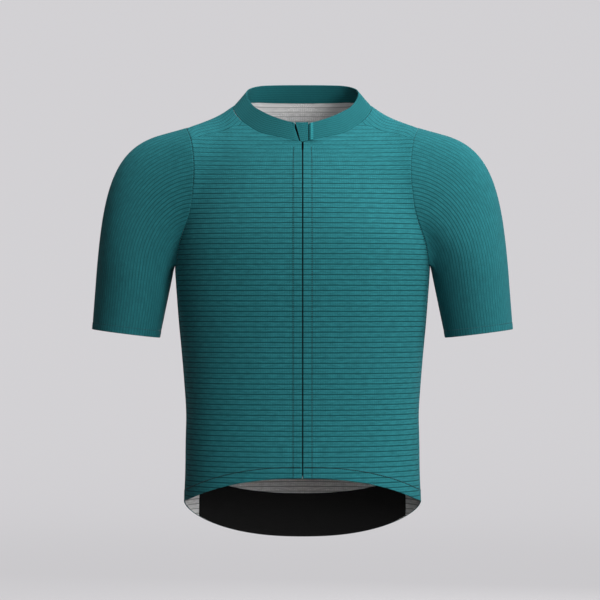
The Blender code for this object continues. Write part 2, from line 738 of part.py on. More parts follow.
def main():
    for leftover in list(bpy.data.objects):
        bpy.data.objects.remove(leftover, do_unlink=True)
    collection = bpy.data.collections.new("cycling_jersey")
    bpy.context.scene.collection.children.link(collection)
    cloth = cloth_material("body_knit", TEAL, 0.75)
    sleeve_cloth = cloth_material("sleeve_knit", SLEEVE_TEAL, 0.75)
    collar_cloth = cloth_material("collar_knit", COLLAR_TEAL, 0.8)
    elastic = cloth_material("gripper_elastic", BLACK, 0.6)
    tape = cloth_material("zip_tape", DARK, 0.7)
    slider = cloth_material("zip_slider_lacquer", DARK, 0.4)
    jersey = Jersey()
    add_fronts(jersey, collection, cloth)
    add_back(jersey, collection, cloth)
    add_sleeves(jersey, collection, sleeve_cloth)
    add_collar(jersey, collection, collar_cloth)
    add_gripper(jersey, collection, elastic)
    add_pockets(jersey, collection, cloth)
    add_zip(collection, tape, slider)
    add_garage(collection, collar_cloth)
    add_garage_fold(collection, collar_cloth)


main()
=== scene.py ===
"""The looks of a short-sleeved cycling jersey, filled out as worn: striped teal knit with a light inside,
topstitched hems and placket, a full coil zip that ends under a garage, a stand collar, a black gripper inside
the longer back hem, and back pockets.

Metres, +Z up, the front faces -Y and the wearer's left is +X. The tables and the patches below are those of
the solids, in millimetres, so that every piece lies on its solid; here each patch is read at a finer step."""

import copy
import math

import bmesh
import bpy
import numpy as np
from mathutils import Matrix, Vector


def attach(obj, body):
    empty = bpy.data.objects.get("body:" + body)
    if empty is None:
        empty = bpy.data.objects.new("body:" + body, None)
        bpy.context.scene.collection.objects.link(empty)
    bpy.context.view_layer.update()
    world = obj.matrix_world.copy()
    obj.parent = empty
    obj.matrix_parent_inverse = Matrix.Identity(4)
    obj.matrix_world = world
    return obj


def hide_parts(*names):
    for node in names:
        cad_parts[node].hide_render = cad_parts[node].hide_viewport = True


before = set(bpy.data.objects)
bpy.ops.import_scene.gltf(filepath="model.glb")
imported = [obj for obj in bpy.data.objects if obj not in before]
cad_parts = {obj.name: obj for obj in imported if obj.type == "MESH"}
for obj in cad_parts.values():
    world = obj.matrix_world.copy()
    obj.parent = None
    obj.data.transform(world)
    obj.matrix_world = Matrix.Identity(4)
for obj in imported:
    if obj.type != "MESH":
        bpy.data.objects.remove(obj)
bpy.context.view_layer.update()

MM = 0.001

# Thicknesses and gaps
WALL = 1.2
COLLAR_WALL = 1.6
TRIM_WALL = 1.0
SEAM_GAP = 0.36
LAYER_GAP = 0.4

# Hem, side seam and zip
FRONT_HEM_CENTRE = -497.4
BACK_HEM_CENTRE = -596.0
HEM_SIDE = -533.0
UNDERARM_HEIGHT = -206.5
BACK_UNDERARM_HEIGHT = -208.0
SIDE_SEAM_ANGLE = math.radians(80.0)
GRIPPER_HEIGHT = 63.2
SQUARENESS = 2.3
FLATTEST_RATIO = 0.75

# How many steps each stretch of a panel has: its armhole goes up past the neck corner, then over to the shoulder
GRIPPER_STEPS = 3
SIDE_STEPS = 13
FRONT_UP = 11
FRONT_OVER = 7
BACK_UP = 14
BACK_OVER = 12
NECK_TO_RIDGE = 8
HALF_COLUMNS = 10
TRIM_COLUMNS = 6
GRIPPER_REACH = 0.25
CAP_STEPS = 9
CUFF_STEPS = 3
COLLAR_STEPS = 3
POCKET_ROWS = (2, 9)
CURVE_STEPS = 40
PROFILE_POINTS = 200
ARMHOLE_FINE_STEPS = 400
EASE_REACH = 5
EASE_START = 1.5
EASE_COLUMNS = (2, 3)
EASE_PASSES = 16

# Numbers of the rows that end on the underarm and on the neck corner, and of the one on the shoulder's ridge
UNDERARM_ROW = GRIPPER_STEPS + SIDE_STEPS
FRONT_NECK_ROW = UNDERARM_ROW + FRONT_UP
BACK_NECK_ROW = UNDERARM_ROW + BACK_UP
RIDGE_ROW = BACK_NECK_ROW + NECK_TO_RIDGE

# Level sections of the body: height, half width, depth in front of and behind the middle
BODY_COLUMNS = ("height", "half_width", "front", "back")
BODY = (
    (-600.0, 167.0, 104.0, 113.5),
    (-560.0, 166.3, 103.5, 108.5),
    (-526.0, 165.9, 103.0, 103.5),
    (-493.0, 164.5, 101.5, 98.5),
    (-450.0, 163.6, 100.0, 92.0),
    (-410.0, 162.4, 99.5, 87.5),
    (-369.0, 164.5, 101.0, 87.0),
    (-325.0, 168.0, 105.0, 92.0),
    (-291.0, 171.5, 109.5, 98.5),
    (-257.6, 174.5, 114.0, 105.0),
    (-212.8, 177.8, 117.5, 111.5),
    (-150.0, 178.5, 113.0, 113.5),
    (-100.0, 178.0, 99.0, 106.5),
    (-65.0, 177.0, 83.0, 95.0),
    (-38.3, 176.0, 68.0, 84.0),
    (0.0, 175.0, 45.0, 65.5),
    (25.6, 174.0, 30.0, 52.0),
)

# Points of the neck seam and of the collar's top edge on the wearer's left, from the middle of the back on
NECK = (
    (0.0, 52.0, 24.7, 0.0, 37.0, 49.0),
    (38.0, 49.5, 25.0, 35.0, 35.0, 48.6),
    (70.0, 38.5, 25.0, 61.0, 27.0, 46.7),
    (90.0, 18.5, 21.5, 74.6, 12.5, 41.8),
    (97.3, 0.0, 14.7, 78.8, -1.0, 35.6),
    (92.0, -15.5, 3.0, 74.6, -13.5, 22.5),
    (80.5, -29.0, -9.0, 66.0, -26.5, 12.5),
    (60.5, -47.5, -22.4, 50.0, -40.5, 3.0),
    (30.9, -61.5, -30.5, 27.0, -53.5, -6.5),
    (14.5, -66.6, -34.6, 13.0, -57.8, -10.4),
    (0.0, -68.0, -38.3, 0.0, -59.0, -11.1),
)
NECK_SHOULDER = 6

# The armhole on the wearer's left, from the underarm up the front, over the shoulder and down the back
ARMHOLE = (
    (174.4, -33.5, -196.0),
    (171.6, -40.5, -180.0),
    (166.4, -47.5, -163.6),
    (160.6, -54.0, -148.6),
    (154.9, -58.0, -129.1),
    (151.6, -57.5, -104.7),
    (149.8, -54.0, -80.5),
    (150.8, -46.0, -55.9),
    (154.9, -34.0, -33.0),
    (160.3, -17.0, -19.5),
    (162.4, 2.0, -14.7),
    (160.3, 23.0, -21.0),
    (155.8, 42.0, -38.0),
    (151.8, 56.0, -62.0),
    (150.0, 64.0, -90.0),
    (151.0, 66.5, -118.0),
    (155.2, 63.0, -145.0),
    (162.0, 53.0, -168.0),
    (169.5, 39.0, -187.0),
    (175.0, 21.0, -199.5),
    (177.6, -2.0, -205.2),
)
ARMHOLE_CORNERS = (6, 9, 14)

# How the rows of a panel run: a row's number, bow, straight share, and crown along Y and Z
SHAPING = {
    "front": (
        (0, 1.6, 0.0, 0.0, 0.0),
        (FRONT_NECK_ROW, 1.6, 0.0, 0.0, 0.0),
        (FRONT_NECK_ROW + FRONT_OVER, 1.6, 1.0, 0.0, 0.0),
    ),
    "back": (
        (0, 1.55, 0.0, 0.0, 0.0),
        (UNDERARM_ROW, 1.5, 0.0, 0.0, 0.0),
        (BACK_NECK_ROW, 1.5, 0.2, 8.0, 2.0),
        (RIDGE_ROW, 1.5, 1.0, 0.0, -2.5),
        (BACK_NECK_ROW + BACK_OVER, 1.5, 1.0, 0.0, 0.0),
    ),
}

# Sections of the arm that a sleeve ends on: centre, half width, half depth and lean from the vertical
ARM = (
    (235.0, 1.0, -216.0, 53.2, 58.0, 9.0),
    (246.8, -1.0, -301.0, 47.7, 51.0, 7.2),
)
ARMHOLE_LEAN = 0.6

# How a sleeve leaves the armhole and lands on the arm, at its top, at front and back, and underneath
CAP_DROP = (0.10, 0.30, 0.0)
CAP_PULL = (300.0, 95.0, 7.0)
CAP_LAND = (360.0, 120.0, 10.0)
CAP_LEAN = (5.0, 9.0, 12.0)
TOP_FADE = 1.5
UNDER_FADE = 1.2

# Zip. A span or a top on the collar is a share of the way up it
TAPE = (3.1, 14.0)
TAPE_TOP = 0.93
TAPE_CURL = 0.7
CHAIN_STEPS = 34
CHAIN_ABOVE_HEM = 3.0
CHAIN_BELOW_NECK = 4.0
CHAIN_ON_COLLAR = (0.05, 0.10)

# Where the collar's ends stand, and the tab and the turned strip between and beside them
COLLAR_ENDS = ((9.2, 9.2), (4.3, 13.3))
COLLAR_FRONT_STEPS = 4
GARAGE_OUTLINE = ((-2.7, 7.9), (-9.8, 7.9))
GARAGE_SPAN = (0.03, 1.04)
GARAGE_COLUMNS = 5
GARAGE_PROUD = 0.5
GARAGE_WALL = 2.2
FOLD_WIDTH = (10.9, 14.6)
FOLD_SPAN = (0.02, 0.99)
FOLD_COLUMNS = 3

# Finer reading of the patches: how many steps a cell is cut into, and the extra places close to an edge
FRONT_FINENESS = (6, 9)
BACK_FINENESS = (5, 8)
SLEEVE_FINENESS = (9, 4)
COLLAR_FINENESS = (7, 5)
TRIM_FINENESS = (8, 8)
ZIP_FINENESS = (3, 4)
EDGE_PLACES = (0.0, 0.02, 0.05, 0.09)

# Rims: their steps, and how far they stand out where the edge is seamed and where it is free
RIM_STEPS = 3
SEAMED_BULGE = 0.06
FREE_BULGE = 0.7

# Edges: how far a front's stands off the zip's middle, how far the collar's foot draws in, and at what
# distance, in metres, the back's halves merge
FRONT_EDGE = 1.25
COLLAR_CLEARANCE = 0.2
MERGE_DISTANCE = 0.00002

# Turnings, rolled edges and the groove under stitching
HEM_DEPTH = 15.0
CUFF_DEPTH = 9.0
PLACKET_DEPTH = 11.6
POCKET_TOP_DEPTH = 14.0
SIDE_STITCH_DEPTH = 3.0
TURNING_RISE = 0.32
TURNING_STEP = 0.6
STITCH_GROOVE = 0.26
GROOVE_WIDTH = 0.8
SEAM_ROLL = 0.5
SHOULDER_ROLL = 0.2
COLLAR_ROLL = 0.12
SEAM_ROLL_WIDTH = 1.8

# Stitches: length, gap, width and height. Then how each lies along its length, and how deep its underside is
TOPSTITCH = (2.6, 0.12, 1.15, 0.36)
HEM_STITCH = (2.9, 0.1, 1.5, 0.36)
# The armhole seams' lines: nearly gapless wide stitches laid in the seam's groove, painted shade
SEAM_SHADE_LINE = (3.5, 0.05, 2.0, 0.3)
STITCH_PLACES = (0.0, 0.2, 0.8, 1.0)
STITCH_SINK = 0.1
STITCH_MARGIN = 1.0

# One side's tooth of the coil, seen from the front: distance from the middle and place along the zip. It lies
# between two depths and is thinner at both. Under the teeth is a cord
TOOTH_SIDE = ((-0.9, 0.30), (-0.3, 0.46), (0.5, 0.26), (2.5, 0.24))
TOOTH = (*((x, -place) for x, place in TOOTH_SIDE), *TOOTH_SIDE[::-1])
TOOTH_PITCH = 1.5
TOOTH_LAYERS = ((0.15, 0.8), (0.95, 0.8), (0.55, 1.0))
TOOTH_MARGIN = 0.8
SHARP_ANGLE = math.radians(40.0)
CORD_WIDTH = 5.0
CORD_DEPTH = 0.9
CORD_THICKNESS = 0.25

# Stripes: their pitch in metres, and how much closer they lie above a height and further apart below another
STRIPE = 0.00705
SLEEVE_STRIPE = 0.0042
CLOSER_ABOVE = -80.0
CLOSER_BY = 0.08
WIDER_BELOW = -200.0
WIDER_BY = 0.011

# The front's stripes rise towards the armhole above a height
SIDE_RISE = 5.0
RISE_SPAN = (-150.0, -40.0)
RISE_REACH = 150.0

# The back's stripes turn along the shoulder's slope above a height, and come over it in front of two depths
SLOPE_ALONG_SHOULDER = 0.45
SLOPE_FROM = 95.0
SLOPE_HEIGHTS = (-110.0, -50.0)
SLOPE_DEPTHS = (50.0, 15.0)
OVER_DEPTHS = (25.0, 5.0)

# Where the sleeve's stripes bend, in x and z, how much flatter than a circle and how they lean below it. They
# spread close to the bend: over its reach above it, and less from a distance outwards on
STRIPE_BEND = (149.0, -201.6)
STRIPE_BEND_SHARE = 0.64
STRIPE_LEAN = 0.16
STRIPE_SPREAD = 0.22
SPREAD_ABOVE = 50.0
SPREAD_OUTWARDS = (1.25, 75.0, 0.3)
NEAREST_TO_BEND = 5.0

# How the cloth settles over the shoulders: how much it rises at each distance from the middle
SETTLE = (
    (98.0, 0.0),
    (112.0, -1.6),
    (124.0, -1.3),
    (140.0, 0.6),
    (154.0, 2.0),
    (166.0, 0.6),
    (178.0, -1.0),
    (190.0, -2.1),
    (206.0, -1.8),
    (226.0, -0.9),
    (250.0, 0.0),
)
SETTLED_FROM = -90.0
SETTLED_FULLY = -40.0

# Each edge of a grid, and the line of points beside it
EDGES = {
    "first_row": (np.s_[0], np.s_[1]),
    "last_row": (np.s_[-1], np.s_[-2]),
    "first_column": (np.s_[:, 0], np.s_[:, 1]),
    "last_column": (np.s_[:, -1], np.s_[:, -2]),
}

# Fine lines of the cloths, in metres: period, half width and softness. A course takes its period from the
# stripes, and its third number is how far it is offset, as a share of that
RIB = (0.0033, 0.0006, 0.0007)
LOOP = (0.0009, 0.00016, 0.0002)
COURSE = (0.0002, 0.0002, 0.25)
COURSES_IN_PERIOD = 8
PLAIN_WALE = (0.0024, 0.0004, 0.0006)
PLAIN_COURSE = (0.0029, 0.0005, 0.0007)
ELASTIC_RIDGE = (0.0022, 0.0003, 0.0006)
ELASTIC_THREAD = (0.0010, 0.0002, 0.0002)
HERRINGBONE = (0.0009, 0.0002, 0.0002)
HERRINGBONE_WIDTH = 0.002

# The striped knit's lines and texture
LINE_WIDTH = 0.00072
LINE_SOFTNESS = LINE_WIDTH * 0.8
FAINT_LINE = 0.4
TEXTURE_SHARE = 0.18
TEXTURE_DEPTH = 0.3
# Painted light: how much fainter and shallower the lines are drawn where light washes them out and where shade
# hides them, and the lengths in metres over which that comes in
BODY_LIGHT_FADES = ((0.24, ("height", -0.09, -0.05)),)
SLEEVE_LIGHT_FADES = (
    (0.3, ("height", -0.13, -0.04)),
    (0.25, ("out", 0.20, 0.25)),
    (0.35, ("height", -0.12, -0.17), ("out", 0.225, 0.185)),
)

# Noises: scale, detail and stretch. Then how the striped knit's tone follows them
MELANGE = (700.0, 2.0, 1.4)
STREAKS = (90.0, 2.0, 5.0)
CLOUD = 14.0
PLAIN_MELANGE = (700.0, 3.0)
ELASTIC_FUZZ = 800.0
MELANGE_SPAN = (0.36, 0.64)
MELANGE_TONES = (0.80, 1.24)
CLOUD_SPAN = (0.3, 0.8)
CLOUD_SHARE = 0.1
CLOUD_TONE = 0.8

# The other cloths: how deep their lines are, how far these take the tone, and the tones as shares of the colour
PLAIN_WALE_DEPTH = 0.7
PLAIN_DEPTH = 0.7
PLAIN_DIP_SHARE = 0.6
PLAIN_MELANGE_LOW = 0.45
PLAIN_MELANGE_SHARE = 0.9
PLAIN_SPAN = (0.0, 0.8)
PLAIN_TONES = (1.15, 0.62)
ELASTIC_THREAD_DEPTH = 0.4
ELASTIC_FUZZ_SHARE = 0.8
ELASTIC_TONES = (0.7, 1.5)
ELASTIC_DIP_SHARE = 0.35
ELASTIC_DIP_TONE = 0.4
HERRINGBONE_SHARE = 0.6
HERRINGBONE_TONES = (1.3, 0.5)
HARD_TONES = (0.85, 1.15)
THREAD_TONES = (0.8, 1.1)
# Painted light: the collar's inside is a copy of its knit, toned on its own to match how light falls inside the
# neck
COLLAR_INSIDE_LIGHT_TONE = 1.06
# Painted highlight: the turned strip beside the garage is drawn this much lighter than the collar, standing in for
# the light its raised edge catches
FOLD_HIGHLIGHT_TONE = 1.7

# Finishes
KNIT_ROUGHNESS = 0.85
KNIT_SHEEN = 0.012
TRIM_SHEEN = 0.03
GLOSS_SPREAD = 0.2
FINE_BUMP = 0.0002
ELASTIC_BUMP = 0.00025
SHEEN_ROUGHNESS = 0.45
BUMP_STRENGTH = 0.6
BUMP_DEPTH = 0.0003
THREAD_TWIST = 900.0
LOWER_THREAD = (-0.13, -0.08)
TEAL = (0.0210, 0.174, 0.198)
SLEEVE_TEAL = (0.0187, 0.156, 0.177)
COLLAR_TEAL = (0.0133, 0.122, 0.137)
INSIDE_GREY = (0.88, 0.87, 0.87)
BLACK = (0.0072, 0.0072, 0.0072)
TAPE_DARK = (0.004, 0.007, 0.008)
TEETH_DARK = (0.002, 0.0035, 0.004)
# Painted shade: near-black for the dark line drawn in the armhole seam's groove on the shaded side; the hem's
# stitching takes it too
SEAM_SHADE_TEAL = (0.002, 0.010, 0.012)
# Thread of the cuffs, also used for the armhole seam on the lit side, painted shade that is paler where light falls
SLEEVE_STITCH_TEAL = (0.010, 0.084, 0.095)
# Threads of the body's stitching. The topstitching's and the hem's are real threads drawn near-black, partly
# painted shade for the grooves and the turned hem's edge they lie along
BODY_THREADS = (
    ("topstitch_thread_groove_shade", (0.002, 0.012, 0.014)),
    ("hem_thread_edge_shade", SEAM_SHADE_TEAL),
    ("side_thread", (0.035, 0.17, 0.19)),
)

# Camera, studio and lamps, in metres. A lamp is its name, place, target, size, power and, where narrow, spread
CAMERA = (-0.0035, -3.5, -0.2548)
FRAME_WIDTH = 0.84
SENSOR_WIDTH = 36.0
FLOOR_HEIGHT = -1.05
FLOOR_CURVE = 1.2
FLOOR_STEPS = 9
DOME_RADIUS = 6.5
DOME_SIDES = 64
DOME_ANGLES = (0.1, 1.57, 12)
PAPER = (0.12, 0.118, 0.12)
PAPER_GLOW = (0.62, 0.61, 0.63)
GLOW_LOW = 0.88
GLOW_RISE = (5.0, 40.0)
SURROUNDINGS = (0.012, 0.012, 0.012)
MIDDLE = (0.0, 0.0, -0.28)
LAMPS = (
    ("top", (0.5, -0.1, 2.6), MIDDLE, 1.6, 100.0),
    ("key", (2.0, -2.7, 0.2), MIDDLE, 1.4, 68.0),
    ("side", (3.0, -0.9, 0.2), MIDDLE, 1.4, 37.0),
    ("front", (-0.2, -3.4, 0.5), MIDDLE, 1.2, 22.0),
    ("high", (1.7, -2.2, 1.8), MIDDLE, 1.4, 8.0),
    ("rim", (2.4, 1.2, 0.6), MIDDLE, 1.2, 16.0),
    ("fill", (-0.4, -2.3, -0.85), (0.0, 0.0, -0.5), 0.3, 0.19, 40.0),
    ("back", (0.6, 3.0, 0.6), MIDDLE, 1.6, 60.0),
)


def unit(vectors):
    return vectors / np.linalg.norm(vectors, axis=-1, keepdims=True)


def hermite(start, end, leave, arrive, t):
    """A cubic from start to end that leaves and arrives along the given tangents."""
    return (
        (2 * t**3 - 3 * t**2 + 1) * start
        + (t**3 - 2 * t**2 + t) * leave
        + (3 * t**2 - 2 * t**3) * end
        + (t**3 - t**2) * arrive
    )


def smooth(knots, values, at):
    """A smooth curve through values at knots, read at each place in at."""
    slopes = np.gradient(values, knots, axis=0)
    cell = np.clip(np.searchsorted(knots, at) - 1, 0, len(knots) - 2)
    step = knots[cell + 1] - knots[cell]
    t = (at - knots[cell]) / step
    if values.ndim > 1:
        step, t = step[:, None], t[:, None]
    return hermite(values[cell], values[cell + 1], slopes[cell] * step, slopes[cell + 1] * step, t)


def ramp(value, low, high):
    """0 up to low, 1 from high on and even between them."""
    return np.clip((value - low) / (high - low), 0.0, 1.0)


def run_of(line):
    """The length along a line of points, from its first one to each."""
    return np.concatenate([[0.0], np.cumsum(np.linalg.norm(np.diff(line, axis=0), axis=1))])


def read_at(at, run, line):
    """The points of a line, or its normals, at the given lengths along it."""
    return np.stack([np.interp(at, run, line[:, axis]) for axis in range(3)], axis=-1)


def shares(count):
    """Even shares from 0 to 1, as count steps."""
    return np.linspace(0.0, 1.0, count + 1)


def even_steps(points, count):
    """The smooth curve through the points, as count even steps."""
    knots = run_of(points)
    fine = smooth(knots, points, np.linspace(0.0, knots[-1], CURVE_STEPS * len(points)))
    run = run_of(fine)
    return read_at(np.linspace(0.0, run[-1], count + 1), run, fine)


def signed_power(value, power):
    return np.sign(value) * np.abs(value) ** power


def body_size(name, heights):
    sizes = dict(zip(BODY_COLUMNS, np.array(BODY).T))
    return smooth(sizes["height"], sizes[name], heights)


def centre_line(side, heights):
    """Points down the middle of the front or the back of the body."""
    depth = body_size(side, heights) * (-1.0 if side == "front" else 1.0)
    return np.stack([np.zeros(len(depth)), depth, heights], axis=-1)


def side_seam(heights):
    """Points on the side seam, which lies a little in front of the widest place."""
    x = body_size("half_width", heights) * signed_power(math.sin(SIDE_SEAM_ANGLE), 2 / SQUARENESS)
    y = -body_size("front", heights) * signed_power(math.cos(SIDE_SEAM_ANGLE), 2 / SQUARENESS)
    return np.stack([x, y, heights], axis=-1)


def panel_row(inner, outer, bow, straight, crown_y, crown_z):
    """One row of a panel: an arc of a squared ellipse that climbs or falls by its bow, or evenly by its straight
    share, and whose middle is lifted by the crowns along Y and Z."""
    ratio = min(outer[1] / inner[1], FLATTEST_RATIO)
    sweep = math.acos(signed_power(ratio, SQUARENESS / 2))
    angles = np.linspace(0.0, sweep, HALF_COLUMNS + 1)
    sine = signed_power(np.sin(angles), 2 / SQUARENESS)
    cosine = signed_power(np.cos(angles), 2 / SQUARENESS)
    across = sine / sine[-1]
    depth = (cosine - cosine[-1]) / (1.0 - cosine[-1])
    lift = 4 * (angles / sweep) * (1 - angles / sweep)
    x = inner[0] + (outer[0] - inner[0]) * across
    y = outer[1] + (inner[1] - outer[1]) * depth + crown_y * lift
    climb = (1.0 - straight) * (1.0 - depth**bow) + straight * across
    z = inner[2] + (outer[2] - inner[2]) * climb + crown_z * lift
    return np.stack([x, y, z], axis=-1)


def eased(grid, corner):
    """The grid with the fold at its neck corner spread over the rows near it. Its edges stay."""
    rows, columns = np.arange(len(grid)), np.arange(grid.shape[1])
    near = np.clip(EASE_START - np.abs(rows - corner) / EASE_REACH, 0.0, 1.0)
    from_sides = np.minimum(columns / EASE_COLUMNS[0], (columns[-1] - columns) / EASE_COLUMNS[1])
    weight = near[1:-1, None, None] * np.clip(from_sides, 0.0, 1.0)[None, :, None] / 2
    for _ in range(EASE_PASSES):
        grid[1:-1] += weight * ((grid[:-2] + grid[2:]) / 2 - grid[1:-1])
    return grid


def armhole_parts():
    """The armhole as four runs of points: up the front, to the shoulder seam, over the top, down the back."""
    start = side_seam(np.array([UNDERARM_HEIGHT]))
    loop = np.concatenate([start, np.array(ARMHOLE), start])
    whole = even_steps(loop, ARMHOLE_FINE_STEPS)
    corners = [int(np.argmin(np.linalg.norm(whole - loop[i], axis=1))) for i in ARMHOLE_CORNERS]
    marks = [0, *corners, ARMHOLE_FINE_STEPS]
    counts = (FRONT_UP, FRONT_OVER, BACK_OVER, BACK_UP)
    return [whole[np.linspace(a, b, n + 1).round().astype(int)] for a, b, n in zip(marks, marks[1:], counts)]


def neck_half():
    """The neck seam and the collar's edge on the wearer's left, from the middle of the back to the front."""
    rings = []
    for ring in np.split(np.array(NECK), 2, axis=1):
        back, front = even_steps(ring[: NECK_SHOULDER + 1], BACK_OVER), even_steps(ring[NECK_SHOULDER:], FRONT_OVER)
        rings.append(np.concatenate([back, front[1:]]))
    return rings


def half_panel(side):
    """Half a front or back: rows from the middle or the neck to the side seam or the armhole. The back goes over
    the shoulder to the seam in front of it."""
    up_front, to_seam, over_top, down_back = armhole_parts()
    if side == "front":
        hem, underarm, neck_height, neck_row = FRONT_HEM_CENTRE, UNDERARM_HEIGHT, NECK[-1][2], FRONT_NECK_ROW
        neck, armhole = neck_half()[0][BACK_OVER:][::-1], (up_front, to_seam)
    else:
        hem, underarm, neck_height, neck_row = BACK_HEM_CENTRE, BACK_UNDERARM_HEIGHT, NECK[0][2], BACK_NECK_ROW
        neck, armhole = neck_half()[0][: BACK_OVER + 1], (down_back[::-1], over_top[::-1])
    band = GRIPPER_HEIGHT / (BACK_UNDERARM_HEIGHT - BACK_HEM_CENTRE)
    above_band = np.linspace(band, 1.0, SIDE_STEPS + 1)[1:]
    ways_up = np.concatenate([np.linspace(0.0, band, GRIPPER_STEPS + 1), above_band])
    high = np.linspace(underarm, neck_height, neck_row - UNDERARM_ROW + 1)[1:]
    middle = centre_line(side, np.concatenate([hem + (underarm - hem) * ways_up, high]))
    inner = np.concatenate([middle, neck[1:]])
    sides = side_seam(HEM_SIDE + (UNDERARM_HEIGHT - HEM_SIDE) * ways_up)
    outer = np.concatenate([sides, armhole[0][1:], armhole[1][1:]])
    corners, *columns = np.array(SHAPING[side]).T
    shaping = np.array([np.interp(np.arange(len(inner)), corners, column) for column in columns]).T
    return eased(np.array([panel_row(*ends, *form) for *ends, form in zip(inner, outer, shaping)]), neck_row)


def arm_ring(station, angles):
    """One section of the arm. Angle 0 is its outer side and a quarter turn its front."""
    half_width, half_depth, lean = station[3:]
    side = np.array([math.cos(math.radians(lean)), 0.0, math.sin(math.radians(lean))])
    across = np.cos(angles)[:, None] * half_width * side
    return station[:3] + across + np.sin(angles)[:, None] * half_depth * np.array([0.0, -1.0, 0.0])


def round_armhole(loop):
    """For each armhole point, its angle round the hole and its direction away from the hole's middle."""
    centre = (loop.max(axis=0) + loop.min(axis=0)) / 2
    half = (loop.max(axis=0) - loop.min(axis=0)) / 2
    offset = (loop - centre) / half
    angles = np.unwrap(np.arctan2(-offset[:, 1], offset[:, 2]))
    return angles, unit(np.stack([np.zeros(len(loop)), offset[:, 1] / half[1], offset[:, 2] / half[2]], axis=-1))


def by_angle(values, angles):
    """The first value at the top of the armhole, the second at front and back, the third underneath."""
    top = np.maximum(np.cos(angles), 0.0) ** TOP_FADE
    under = np.maximum(-np.cos(angles), 0.0) ** UNDER_FADE
    return (values[1] + (values[0] - values[1]) * top + (values[2] - values[1]) * under)[:, None]


def sleeve_grid():
    """The wearer's left sleeve, a column for each armhole point, and at the armhole its normals and the
    directions out of it along the cloth."""
    loop = np.concatenate([part[:-1] for part in armhole_parts()])
    angles, radial = round_armhole(loop)
    upper, cuff = np.array(ARM)
    landing = arm_ring(upper, angles)
    lean = np.radians(by_angle(CAP_LEAN, angles))
    down = np.concatenate([np.sin(lean), np.zeros_like(lean), -np.cos(lean)], axis=-1)
    outwards = np.array([1.0, 0.0, 0.0])
    leave = unit(outwards - by_angle(CAP_DROP, angles) * radial) * by_angle(CAP_PULL, angles)
    arrive = down * by_angle(CAP_LAND, angles)
    cap = [hermite(loop, landing, leave, arrive, t) for t in shares(CAP_STEPS)]
    lower = [arm_ring(upper + (cuff - upper) * share, angles) for share in shares(CUFF_STEPS)[1:]]
    rims = unit(radial + ARMHOLE_LEAN * outwards)
    tangents = np.roll(loop, -1, axis=0) - np.roll(loop, 1, axis=0)
    return np.array(cap + lower), rims, unit(np.cross(tangents, rims))


def collar_grid(low, high):
    """Half the collar. Its front end stands at the distances low and high from the middle."""
    seam, edge = neck_half()
    seam[-1] += (seam[-2] - seam[-1]) * low / seam[-2][0]
    edge[-1] += (edge[-2] - edge[-1]) * high / edge[-2][0]
    return np.array([seam + (edge - seam) * share for share in shares(COLLAR_STEPS)])


def mirrored(grid):
    return grid * np.array([-1.0, 1.0, 1.0])


def grid_normals(grid, closed=False):
    """Unit normals of a grid of points."""
    wide = np.concatenate([grid[:, -1:], grid, grid[:, :1]], axis=1) if closed else grid
    across = np.gradient(wide, axis=1)
    return unit(np.cross(across[:, 1:-1] if closed else across, np.gradient(grid, axis=0)))


def pulled_in(grid, edges):
    """The grid with the named edges drawn back from their seams by half the seam gap."""
    grid = grid.copy()
    for edge in edges:
        at, beside = EDGES[edge]
        grid[at] += unit(grid[beside] - grid[at]) * SEAM_GAP / 2
    return grid


def along_armhole(values, panel, side):
    """The values of the armhole's points in the order in which a panel's rows end on them."""
    steps = np.arange(len(panel) - UNDERARM_ROW) * (1 if side == "front" else -1)
    return values[steps % len(values)]


class Jersey:
    """The outer grids of the wearer's left half and their normals, which agree along every seam."""

    def __init__(self):
        self.grids = {side: half_panel(side) for side in ("front", "back")}
        self.sleeve, rims, self.out_of_armhole = sleeve_grid()
        self.collars = [collar_grid(*ends) for ends in COLLAR_ENDS]
        front, back = grid_normals(self.grids["front"]), -grid_normals(self.grids["back"])
        back[: BACK_NECK_ROW + 1, 0, 0] = 0.0
        back = unit(back)
        for seam in (np.s_[:UNDERARM_ROW, -1], np.s_[-1]):
            front[seam] = back[seam] = unit(front[seam] + back[seam])
        self.normals = {"front": front, "back": back}
        for side, normals in self.normals.items():
            normals[UNDERARM_ROW:, -1] = along_armhole(rims, normals, side)
        self.sleeve_normals = -grid_normals(self.sleeve, closed=True)
        self.sleeve_normals[0] = rims
        self.collar_normals = [-grid_normals(grid) for grid in self.collars]
        self.share_neck(front, back)

    def share_neck(self, front, back):
        """Gives the collar, the back and the front the same normals along the neck seam."""
        seam = np.concatenate([back[BACK_NECK_ROW:, 0], front[FRONT_NECK_ROW:, 0][::-1][1:]])
        for normals in self.collar_normals:
            normals[:, 0, 0] = 0.0
            normals[:] = unit(normals)
            normals[0] = unit(normals[0] + seam)
        seam = self.collar_normals[0][0]
        back[BACK_NECK_ROW:, 0] = seam[: BACK_OVER + 1]
        front[FRONT_NECK_ROW:, 0] = seam[BACK_OVER:][::-1]

    def faces(self, side, edges):
        """Both faces of a front or back, drawn back from the named seams, the side seam and the armhole."""
        grid = self.grids[side]
        faces = [pulled_in(face, edges) for face in (grid, grid - self.normals[side] * WALL)]
        below = np.s_[: UNDERARM_ROW + 1, -1]
        for face in faces:
            face[below] = pulled_in(face, ("last_column",))[below]
            face[UNDERARM_ROW:, -1] -= along_armhole(self.out_of_armhole, grid, side) * SEAM_GAP / 2
        return faces


def joined_halves(left, right):
    """One grid across the middle from two halves that start there."""
    return np.concatenate([mirrored(right)[:, :0:-1], left], axis=1)


def collar_at(x, share):
    """The collar's outer face at a distance from the middle of the front, a share of the way up."""
    ends = []
    for ring in neck_half():
        front = ring[-COLLAR_FRONT_STEPS - 1 :][::-1]
        ends.append([np.interp(abs(x), front[:, 0], front[:, axis]) for axis in (1, 2)])
    low, high = np.array(ends)
    return np.array([x, *(low + (high - low) * share)])


